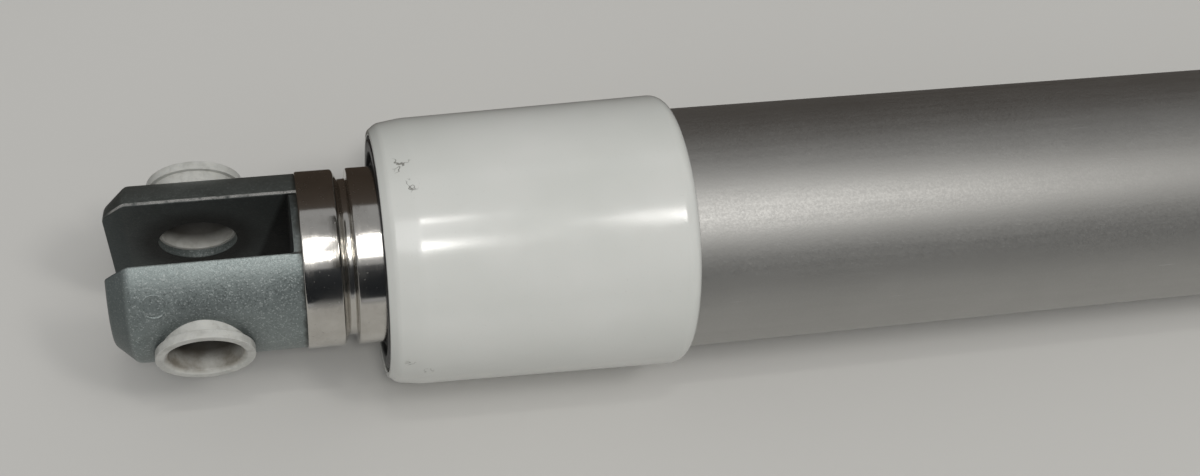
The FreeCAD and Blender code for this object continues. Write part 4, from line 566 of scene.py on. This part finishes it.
# %% Piston tube
PISTON_FRONT_X, PISTON_REAR_X = -361.15, -90.0
PISTON_RADIUS, PISTON_BORE = 12.5, 11.0
GROOVE_X = PISTON_FRONT_X + 5.15
piston_tube = place_mesh(spin_round(lathe_outline([
    (PISTON_FRONT_X, PISTON_BORE),
    (PISTON_FRONT_X, PISTON_RADIUS, 0.28),
    (GROOVE_X, PISTON_RADIUS, 0.45),  # down into the groove
    (GROOVE_X + 0.75, 11.05, 0.45),
    (GROOVE_X + 1.75, 11.05, 0.4),  # and up again
    (GROOVE_X + 2.0, PISTON_RADIUS, 0.3),
    (PISTON_REAR_X, PISTON_RADIUS),
    (PISTON_REAR_X, PISTON_BORE),
    (GROOVE_X + 2.4, PISTON_BORE),  # the groove's back, in the bore
    (GROOVE_X + 1.9, 9.7),
    (GROOVE_X + 0.9, 9.7),
    (GROOVE_X + 0.3, PISTON_BORE),
], arc_segments=6)), "piston_dressed")
stand_in_for(piston_tube, "piston", ["piston_tube"], POLISHED_STEEL)

# %% [markdown]
# Each ear holds a flanged nylon bush for the pin. The bushes are turned about the pin's axis,
# which lies across the actuator. Rather than need a second lathe, they are spun about X like the
# rest and then swung a quarter turn, so that their flanges face outwards.

# %% Bushes in the ears
BUSH_BORE, BUSH_BARREL, BUSH_FLANGE = 5.05, 6.1, 6.7
BUSH_INNER_END, EAR_FACE, FLANGE_FACE = 5.9, 12.3, 13.5


def make_ear_bush(name, centre_x, side):
    bush = spin_round(lathe_outline([
        (BUSH_INNER_END, BUSH_BORE, 0.15), (BUSH_INNER_END, BUSH_BARREL, 0.15),
        (EAR_FACE, BUSH_BARREL), (EAR_FACE, BUSH_FLANGE, 0.08), (FLANGE_FACE, BUSH_FLANGE, 0.08),
        (FLANGE_FACE, BUSH_BORE + 0.55, 0.08), (FLANGE_FACE - 0.5, BUSH_BORE, 0.2),
    ]), steps=112)
    turn = Matrix.Rotation(math.radians(90.0) * side, 3, "Z")
    bmesh.ops.rotate(bush, cent=(0, 0, 0), matrix=turn, verts=bush.verts[:])
    bmesh.ops.translate(bush, vec=(centre_x * MM, 0, 0), verts=bush.verts[:])
    return place_mesh(bush, name)


for node, body, centre_x, side in (
    ("fork_bush_near", "piston", FORK_X, -1),
    ("fork_bush_far", "piston", FORK_X, 1),
    ("rear_bush_near", "barrel", REAR_X, -1),
    ("rear_bush_far", "barrel", REAR_X, 1),
):
    ear_bush = make_ear_bush(f"{node}_dressed", centre_x, side)
    stand_in_for(ear_bush, body, [node], BUSH_NYLON)

# %% [markdown]
# The castings and the moulded shells have the right form already, but their edges are knife
# sharp and their faces are loose triangles. Modelling them again would only repeat the CAD. A copy
# is merged, its flat faces are joined again, and every edge that turns sharply gets a small bevel,
# which is what catches the light on a real casting.

# %% Castings and mouldings with softened edges
LOOSE_GAP = 2e-6
FLAT_WITHIN, BEVEL_FROM = 0.4, 28.0


def softened_copy(node, name, width):
    bm = bmesh.new()
    bm.from_mesh(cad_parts[node].data)
    bmesh.ops.remove_doubles(bm, verts=bm.verts[:], dist=LOOSE_GAP)
    bmesh.ops.dissolve_limit(
        bm, angle_limit=math.radians(FLAT_WITHIN), use_dissolve_boundaries=False,
        verts=bm.verts[:], edges=bm.edges[:],
    )
    piece = place_mesh(bm, name)
    soften = piece.modifiers.new("softened_edges", "BEVEL")
    soften.width = width * MM
    soften.segments = 3
    soften.limit_method = "ANGLE"
    soften.angle_limit = math.radians(BEVEL_FROM)
    soften.use_clamp_overlap = True
    soften.harden_normals = False
    return piece


for node, body, slot, material, width in (
    ("fork_head", "piston", "zinc_casting", FORK_ZINC, 0.35),
    ("rear_clevis", "barrel", "zinc_casting", REAR_ZINC, 0.35),
    ("housing_front", "barrel", "white_plastic", HOUSING_PLASTIC, 0.4),
    ("housing_rear", "barrel", "white_plastic", HOUSING_PLASTIC, 0.4),
    ("inlet_socket", "barrel", "dark_plastic", BLACK_PLASTIC, 0.2),
):
    dressed = softened_copy(node, f"{node}_dressed", width)
    stand_in_for(dressed, body, [node], material)

# %% [markdown]
# Six screws hold the two halves of the housing together. Each head is turned with a rounded edge.
# A boolean could cut its socket, but leaves untidy faces. It is made as on a press: the flat top is
# opened, a hexagon is joined to the rim of the opening, and its edges are pushed in and closed at
# the bottom.

# %% Screws of the housing
SCREW_SPOTS = (
    (-20.5, 26.5), (-21.5, -12.5), (25.5, 32.0), (28.0, -13.8), (99.5, -12.5), (99.5, 34.0),
)
SCREW_SEAT_X = -20.0
SCREW_END, SCREW_SHANK = -30.0, 1.9
HEAD_HEIGHT, HEAD_RADIUS, HEAD_FLAT = 2.6, 3.4, 2.6
SOCKET_RADIUS, SOCKET_DEPTH = 1.75, 1.6


def turn_screw():
    """A turned screw whose flat top is open in the middle."""
    screw = spin_round(lathe_outline([
        (SCREW_END, 0.0), (SCREW_END + SCREW_SHANK, SCREW_SHANK), (0.0, SCREW_SHANK),
        (0.0, HEAD_RADIUS, 0.15), (HEAD_HEIGHT, HEAD_RADIUS, 0.55), (HEAD_HEIGHT, HEAD_FLAT),
        (HEAD_HEIGHT, 0.0),
    ]), steps=48)
    near_top, on_axis = (HEAD_HEIGHT - 0.01) * MM, 0.01 * MM
    top = [vert for vert in screw.verts if vert.co.x > near_top and vert.co.yz.length < on_axis]
    bmesh.ops.delete(screw, geom=top, context="VERTS")
    return screw


def press_socket(screw):
    """Joins a hexagon to the open rim, pushes it in and closes its bottom."""
    rim = [edge for edge in screw.edges if edge.is_boundary]
    quarter_turn = Matrix.Rotation(math.radians(90.0), 4, "Y")
    hexagon = bmesh.ops.create_circle(
        screw, cap_ends=False, segments=6, radius=SOCKET_RADIUS * MM,
        matrix=Matrix.Translation((HEAD_HEIGHT * MM, 0, 0)) @ quarter_turn,
    )
    inner = list({edge for vert in hexagon["verts"] for edge in vert.link_edges})
    bmesh.ops.bridge_loops(screw, edges=rim + inner)
    pushed = bmesh.ops.extrude_edge_only(screw, edges=inner)["geom"]
    bottom_verts = [item for item in pushed if isinstance(item, bmesh.types.BMVert)]
    bottom_edges = [item for item in pushed if isinstance(item, bmesh.types.BMEdge)]
    bmesh.ops.translate(screw, vec=(-SOCKET_DEPTH * MM, 0, 0), verts=bottom_verts)
    bmesh.ops.contextual_create(screw, geom=bottom_edges)
    bmesh.ops.recalc_face_normals(screw, faces=screw.faces[:])


def add_screw(bm, across, up):
    screw = turn_screw()
    press_socket(screw)
    spot = (SCREW_SEAT_X * MM, across * MM, up * MM)
    bmesh.ops.translate(screw, vec=spot, verts=screw.verts[:])
    mesh = bpy.data.meshes.new("one_screw")
    screw.to_mesh(mesh)
    screw.free()
    bm.from_mesh(mesh)
    bpy.data.meshes.remove(mesh)


screws = bmesh.new()
for across, up in SCREW_SPOTS:
    add_screw(screws, across, up)
housing_screws = place_mesh(screws, "housing_screws_dressed")
stand_in_for(housing_screws, "barrel", ["housing_screws"], CAN_STEEL)

# %% [markdown]
# The pin that pushes the casting out of its die leaves a small round mark on the near ear. Bump
# alone would stay flat at a low angle, so the mark is a real shape: a low button with a raised rim,
# spun and then wrapped onto the ear, which is part of a cylinder. What was across the button
# becomes an angle, and what was its height a radius.

# %% Ejector mark on the fork
EAR_RADIUS = 12.25
MARK_RADIUS = 1.8
MARK_X = FORK_X - 5.95
MARK_ANGLE = math.radians(138.0)
RIM_HEIGHT, MIDDLE_HEIGHT, BURIED_END = 0.09, 0.015, -0.3
mark = spin_round(lathe_outline([
    (BURIED_END, 0.0), (BURIED_END, MARK_RADIUS), (0.02, MARK_RADIUS, 0.02),
    (RIM_HEIGHT, MARK_RADIUS - 0.1, 0.05), (RIM_HEIGHT, MARK_RADIUS - 0.18, 0.05),
    (MIDDLE_HEIGHT, MARK_RADIUS - 0.3, 0.02), (MIDDLE_HEIGHT, 0.0),
], arc_segments=3), steps=64)
for vert in mark.verts:
    height, across_mark, along_mark = vert.co
    angle = MARK_ANGLE + across_mark / (EAR_RADIUS * MM)
    radius = EAR_RADIUS * MM + height
    vert.co = (MARK_X * MM + along_mark, radius * math.cos(angle), radius * math.sin(angle))
ejector_mark = place_mesh(mark, "ejector_mark")
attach(ejector_mark, "piston")
ejector_mark.data.materials.append(FORK_ZINC)
print(f"{ejector_mark.name}: {len(ejector_mark.data.polygons)} faces, {2 * MARK_RADIUS} mm across")

# %% [markdown]
# The spindle's thread has two starts, so each ridge moves on by two pitches in one turn. A Screw
# modifier could wind it, but cutting its ends would take more modifiers. Here the outline of two
# ridges is spun and pushed along at the same time, which gives one turn, and where one turn ends
# the next begins.

# %% One turn of the spindle's thread
THREAD_PITCH = 3.0
THREAD_LEAD = 2 * THREAD_PITCH
THREAD_CREST, THREAD_ROOT = 7.0, 5.25
THREAD_STEPS = 36
RIDGE = ((0.0, THREAD_CREST), (1.1, THREAD_CREST), (1.57, THREAD_ROOT), (2.53, THREAD_ROOT))


def make_one_turn(start_x):
    starts = (start_x, start_x + THREAD_PITCH)
    outline = [(start + along, radius) for start in starts for along, radius in RIDGE]
    outline.append((start_x + THREAD_LEAD, THREAD_CREST))
    turn = bmesh.new()
    verts = [turn.verts.new((x * MM, radius * MM, 0.0)) for x, radius in outline]
    edges = [turn.edges.new(pair) for pair in zip(verts, verts[1:])]
    bmesh.ops.spin(
        turn, geom=verts + edges, cent=(0, 0, 0), axis=(1, 0, 0),
        dvec=(THREAD_LEAD * MM / THREAD_STEPS, 0, 0), angle=2 * math.pi, steps=THREAD_STEPS,
        use_merge=False, use_normal_flip=False, use_duplicate=False,
    )
    mesh = bpy.data.meshes.new("one_turn")
    turn.to_mesh(mesh)
    turn.free()
    return mesh


print(f"thread: {THREAD_LEAD} mm a turn, {2 * THREAD_CREST} mm over its crests")

# %% [markdown]
# The turns are set in a row and merged, two planes cut the row square, and both ends are turned
# down to a chamfer, as on a lathe. The row is a little longer than the thread, so that each plane
# has metal on both of its sides.

# %% The whole thread
THREAD_FRONT_X, THREAD_REAR_X = -329.5, -66.0
FRONT_END_RADIUS, REAR_END_RADIUS = 6.0, 6.5
TURNS_BEFORE, SPARE_TURNS = 1.5, 2.5
ON_THE_CUT = 1e-6


def radius_of(vert):
    return math.hypot(vert.co.y, vert.co.z)


def turn_down(vert, radius):
    vert.co.yz = vert.co.yz * (radius / radius_of(vert))


def cut_square(thread, end_x, outwards):
    """Cuts off what is past a plane and closes the cut with one face."""
    bmesh.ops.bisect_plane(
        thread, geom=thread.verts[:] + thread.edges[:] + thread.faces[:], dist=SEAM_GAP,
        plane_co=(end_x * MM, 0, 0), plane_no=(outwards, 0, 0), clear_outer=True,
    )
    rim = [
        edge for edge in thread.edges
        if edge.is_boundary and all(abs(vert.co.x - end_x * MM) < ON_THE_CUT for vert in edge.verts)
    ]
    bmesh.ops.contextual_create(thread, geom=rim)


def make_thread():
    one_turn = make_one_turn(THREAD_FRONT_X - TURNS_BEFORE * THREAD_LEAD)
    turns = math.ceil((THREAD_REAR_X - THREAD_FRONT_X) / THREAD_LEAD + SPARE_TURNS)
    thread = bmesh.new()
    for number in range(turns):
        count = len(thread.verts)
        thread.from_mesh(one_turn)
        along = (number * THREAD_LEAD * MM, 0, 0)
        bmesh.ops.translate(thread, vec=along, verts=thread.verts[:][count:])
    bpy.data.meshes.remove(one_turn)
    bmesh.ops.remove_doubles(thread, verts=thread.verts[:], dist=LOOSE_GAP)
    cut_square(thread, THREAD_FRONT_X, -1)
    cut_square(thread, THREAD_REAR_X, 1)
    for vert in thread.verts:
        at_front = (FRONT_END_RADIUS - THREAD_FRONT_X) * MM + vert.co.x
        at_rear = REAR_END_RADIUS * MM + (THREAD_REAR_X * MM - vert.co.x) / 2
        if radius_of(vert) > min(at_front, at_rear):
            turn_down(vert, min(at_front, at_rear))
    bmesh.ops.recalc_face_normals(thread, faces=thread.faces[:])
    return thread


thread = make_thread()
thread_mesh = bpy.data.meshes.new("thread")
thread.to_mesh(thread_mesh)
open_edges = sum(edge.is_boundary for edge in thread.edges)
print(f"thread: {len(thread.faces)} faces, {open_edges} open edges")
thread.free()

# %% [markdown]
# The rest of the spindle, with its journal, flats and bearing seat, is right as it is. It is taken
# from the frame's solid, and only its long middle, which is as thick as the thread's crests, is
# drawn in to a core that hides under the thread.

# %% Spindle
CORE_RADIUS = 5.1
CORE_SETBACK = 0.5
spindle = bmesh.new()
spindle.from_mesh(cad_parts["spindle"].data)
bmesh.ops.remove_doubles(spindle, verts=spindle.verts[:], dist=LOOSE_GAP)
for vert in spindle.verts:
    x = vert.co.x / MM
    in_thread = THREAD_FRONT_X - 0.1 < x < THREAD_REAR_X - CORE_SETBACK
    if in_thread and radius_of(vert) > THREAD_ROOT * MM:
        turn_down(vert, CORE_RADIUS * MM)
        vert.co.x = max(vert.co.x, (THREAD_FRONT_X + CORE_SETBACK) * MM)
spindle.from_mesh(thread_mesh)
bpy.data.meshes.remove(thread_mesh)
dressed_spindle = place_mesh(spindle, "spindle_dressed")
stand_in_for(dressed_spindle, "spindle_set", ["spindle"], TURNED_STEEL)

# %% [markdown]
# Everything else keeps its solid from the frame and only takes a finish. Most of it is inside
# the housing and shows when the shells are taken off, and there the shapes of the CAD are enough.

# %% Finishes for the solids that stay
KEPT_FINISHES = {
    TURNED_STEEL: [
        "end_screw", "wheel_hub", "spindle_lock_nut", "safety_nut", "nut_pins", "motor_shaft",
        "worm", "bearing_inner_race", "bearing_outer_race", "bearing_balls",
    ],
    ZINC_PLATE: ["tie_screws", "tie_sleeves", "bearing_plate", "motor_end_plate"],
    CAN_STEEL: ["motor_can"],
    CORE_STEEL: ["armature_core"],
    CAST_FLANGE: ["tube_flange"],
    NUT_PLASTIC: ["spindle_nut", "spindle_end_bush", "support_bush"],
    BLACK_PLASTIC: ["motor_rear_cap", "ball_cage"],
    BLACK_RUBBER: ["tube_seal", "fork_seal", "rear_bumper", "stop_ring"],
    WHEEL_ACETAL: ["worm_wheel"],
    BRONZE: ["motor_bushes", "worm_end_bush", "contact_pins"],
    COPPER: ["commutator", "armature_windings"],
    FERRITE: ["motor_magnets", "magnet_ring"],
    BRUSH_CARBON: ["motor_brushes"],
    BOARD_GREEN: ["sensor_board"],
}
for material, names in KEPT_FINISHES.items():
    for name in names:
        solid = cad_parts[name]
        solid.data.materials.clear()
        solid.data.materials.append(material)
    print(f"{material.name}: {', '.join(names)}")

# %% [markdown]
# ## Floor, light and camera
# The actuator lies on its flat side on a plain pale floor. A grid of one face is enough for it. It
# is large enough to reach past every view, and its colour hardly changes, so that it stays quiet.

# %% Floor
FLOOR_Z, FLOOR_GAP = -19.7, 0.02
FLOOR_SIZE = 6.0
floor_mesh = bmesh.new()
bmesh.ops.create_grid(floor_mesh, x_segments=1, y_segments=1, size=FLOOR_SIZE)
floor_drop = (0, 0, (FLOOR_Z - FLOOR_GAP) * MM)
bmesh.ops.translate(floor_mesh, vec=floor_drop, verts=floor_mesh.verts[:])
floor = place_mesh(floor_mesh, "floor")
floor_finish = Finish("pale_floor", (0.62, 0.61, 0.59), roughness=0.9)
floor_tone = floor_finish.span(floor_finish.noise(3.0, 2.0), 0.3, 0.7)
floor_colour = floor_finish.blend(floor_tone, (0.51, 0.502, 0.48), (0.545, 0.537, 0.515))
floor.data.materials.append(floor_finish.wear(base_color=floor_colour))
print(f"{floor.name}: {FLOOR_GAP} mm under the actuator's foot")

# %% [markdown]
# A wide soft lamp overhead lights all of the actuator evenly, but only its dull side: reflections
# don't see it. What the polished surfaces show comes from smaller lamps. A square one beyond the
# fork is seen only in reflections. One small lamp above the camera makes the bright streak on the
# steel and the glint on the cap's front edge, and a fainter one nearly overhead a thinner streak
# behind it. The last stands over the tube and gives its broad satin highlight. The pale world
# fills the shadows. One big lamp would be simpler, but its streak would lie along everything.

# %% Lamps and world
OVER_CAP = (-0.335, 0.0, 0.0)
WARM_WHITE = (1.0, 0.985, 0.95)


def add_softbox(name, place, target, size, power, colour=(1.0, 1.0, 1.0), hidden_from=()):
    """A flat lamp of two side lengths in metres, turned towards its target."""
    light = bpy.data.lights.new(name, "AREA")
    light.shape = "RECTANGLE"
    light.size, light.size_y = size
    light.energy = power
    light.color = colour
    lamp = bpy.data.objects.new(name, light)
    lamp.location = place
    lamp.rotation_euler = (Vector(target) - Vector(place)).to_track_quat("-Z", "Y").to_euler()
    for ray in hidden_from:
        setattr(lamp, f"visible_{ray}", False)
    bpy.context.scene.collection.objects.link(lamp)
    print(f"{name}: {power} W")


add_softbox("near_lamp", (-0.335, -0.385, 0.86), OVER_CAP, (0.09, 0.10), 1.35, WARM_WHITE)
add_softbox("back_lamp", (-0.335, -0.05, 0.93), OVER_CAP, (0.12, 0.03), 0.45, WARM_WHITE)
add_softbox(
    "tube_lamp", (-0.134, -0.150, 0.52), (-0.26, 0.0, 0.0), (0.07, 0.10), 0.40, (1.0, 0.98, 0.95),
)
add_softbox(
    "overhead_softbox", (-0.10, -0.38, 1.5), (-0.18, 0.0, 0.0), (1.5, 0.7), 7.6,
    hidden_from=["glossy"],
)
add_softbox(
    "overhead_strip", (-0.66, -0.38, 1.5), (-0.5, 0.0, 0.0), (0.7, 0.7), 4.3,
    hidden_from=["diffuse"],
)
world = bpy.data.worlds.new("studio")
bpy.context.scene.world = world
world.use_nodes = True
backdrop = world.node_tree.nodes["Background"]
backdrop.inputs["Color"].default_value = (0.86, 0.87, 0.88, 1.0)
backdrop.inputs["Strength"].default_value = 0.43

# %% [markdown]
# Polished metal shows whatever stands round it, and in an empty pale room it has no shape. So
# three dark cards stand round the actuator, as they would in a studio: one behind it, one in front
# of it and one overhead on the right. Only reflections see them, so they cast no shadow.

# %% Dark cards
def add_flag(name, corners, colour):
    """A dark card that only reflections see. Its corners are in metres."""
    card = bmesh.new()
    card.faces.new([card.verts.new(corner) for corner in corners])
    flag = place_mesh(card, name)
    flag.data.materials.append(Finish(f"{name}_card", colour, roughness=1.0).wear())
    for ray in ("camera", "diffuse", "transmission", "shadow", "volume_scatter"):
        setattr(flag, f"visible_{ray}", False)


add_flag("far_flag", [
    (-1.6, 0.03, -0.0185), (-0.1, 0.03, -0.0185), (-0.1, 0.70, 0.85), (-1.6, 0.70, 0.85),
], (0.05, 0.036, 0.026))
add_flag("near_flag", [
    (-1.6, -0.6, 0.06), (1.2, -0.6, 0.06), (1.2, -0.6, 0.72), (-1.6, -0.6, 0.72),
], (0.02, 0.024, 0.03))
add_flag("right_flag", [
    (-0.2, -1.3, 1.3), (1.5, -1.3, 1.3), (1.5, 0.7, 1.3), (-0.2, 0.7, 1.3),
], (0.05, 0.042, 0.03))

# %% [markdown]
# The camera stands where the photographer stood. It could be moved by eye until the picture fits,
# but its place and turn were worked out from the outlines of the tube, the cap and the fork in the
# photograph, and its roll tips the tube down to the right.

# %% Camera
CAMERA_PLACE = (-0.365524, -0.10798, 0.21640)
AZIMUTH, ELEVATION, ROLL = -0.416, 1.0738, 0.2829
SENSOR_WIDTH, FOCAL_LENGTH = 36.0, 50.7
ahead = Vector((
    -math.sin(AZIMUTH) * math.cos(ELEVATION),
    math.cos(AZIMUTH) * math.cos(ELEVATION),
    -math.sin(ELEVATION),
))
level = ahead.cross(Vector((0, 0, 1))).normalized()
upright = level.cross(ahead)
right = level * math.cos(ROLL) + upright * math.sin(ROLL)
up = upright * math.cos(ROLL) - level * math.sin(ROLL)
lens = bpy.data.cameras.new("photo_view")
lens.sensor_width = SENSOR_WIDTH
lens.lens = FOCAL_LENGTH
lens.clip_start = 0.01
camera = bpy.data.objects.new("photo_view", lens)
camera.matrix_world = Matrix((right, up, -ahead)).transposed().to_4x4()
camera.location = CAMERA_PLACE
bpy.context.scene.collection.objects.link(camera)
bpy.context.scene.camera = camera
bpy.context.scene.view_settings.view_transform = "Standard"
print(f"{camera.name}: {FOCAL_LENGTH} mm lens at {CAMERA_PLACE}")
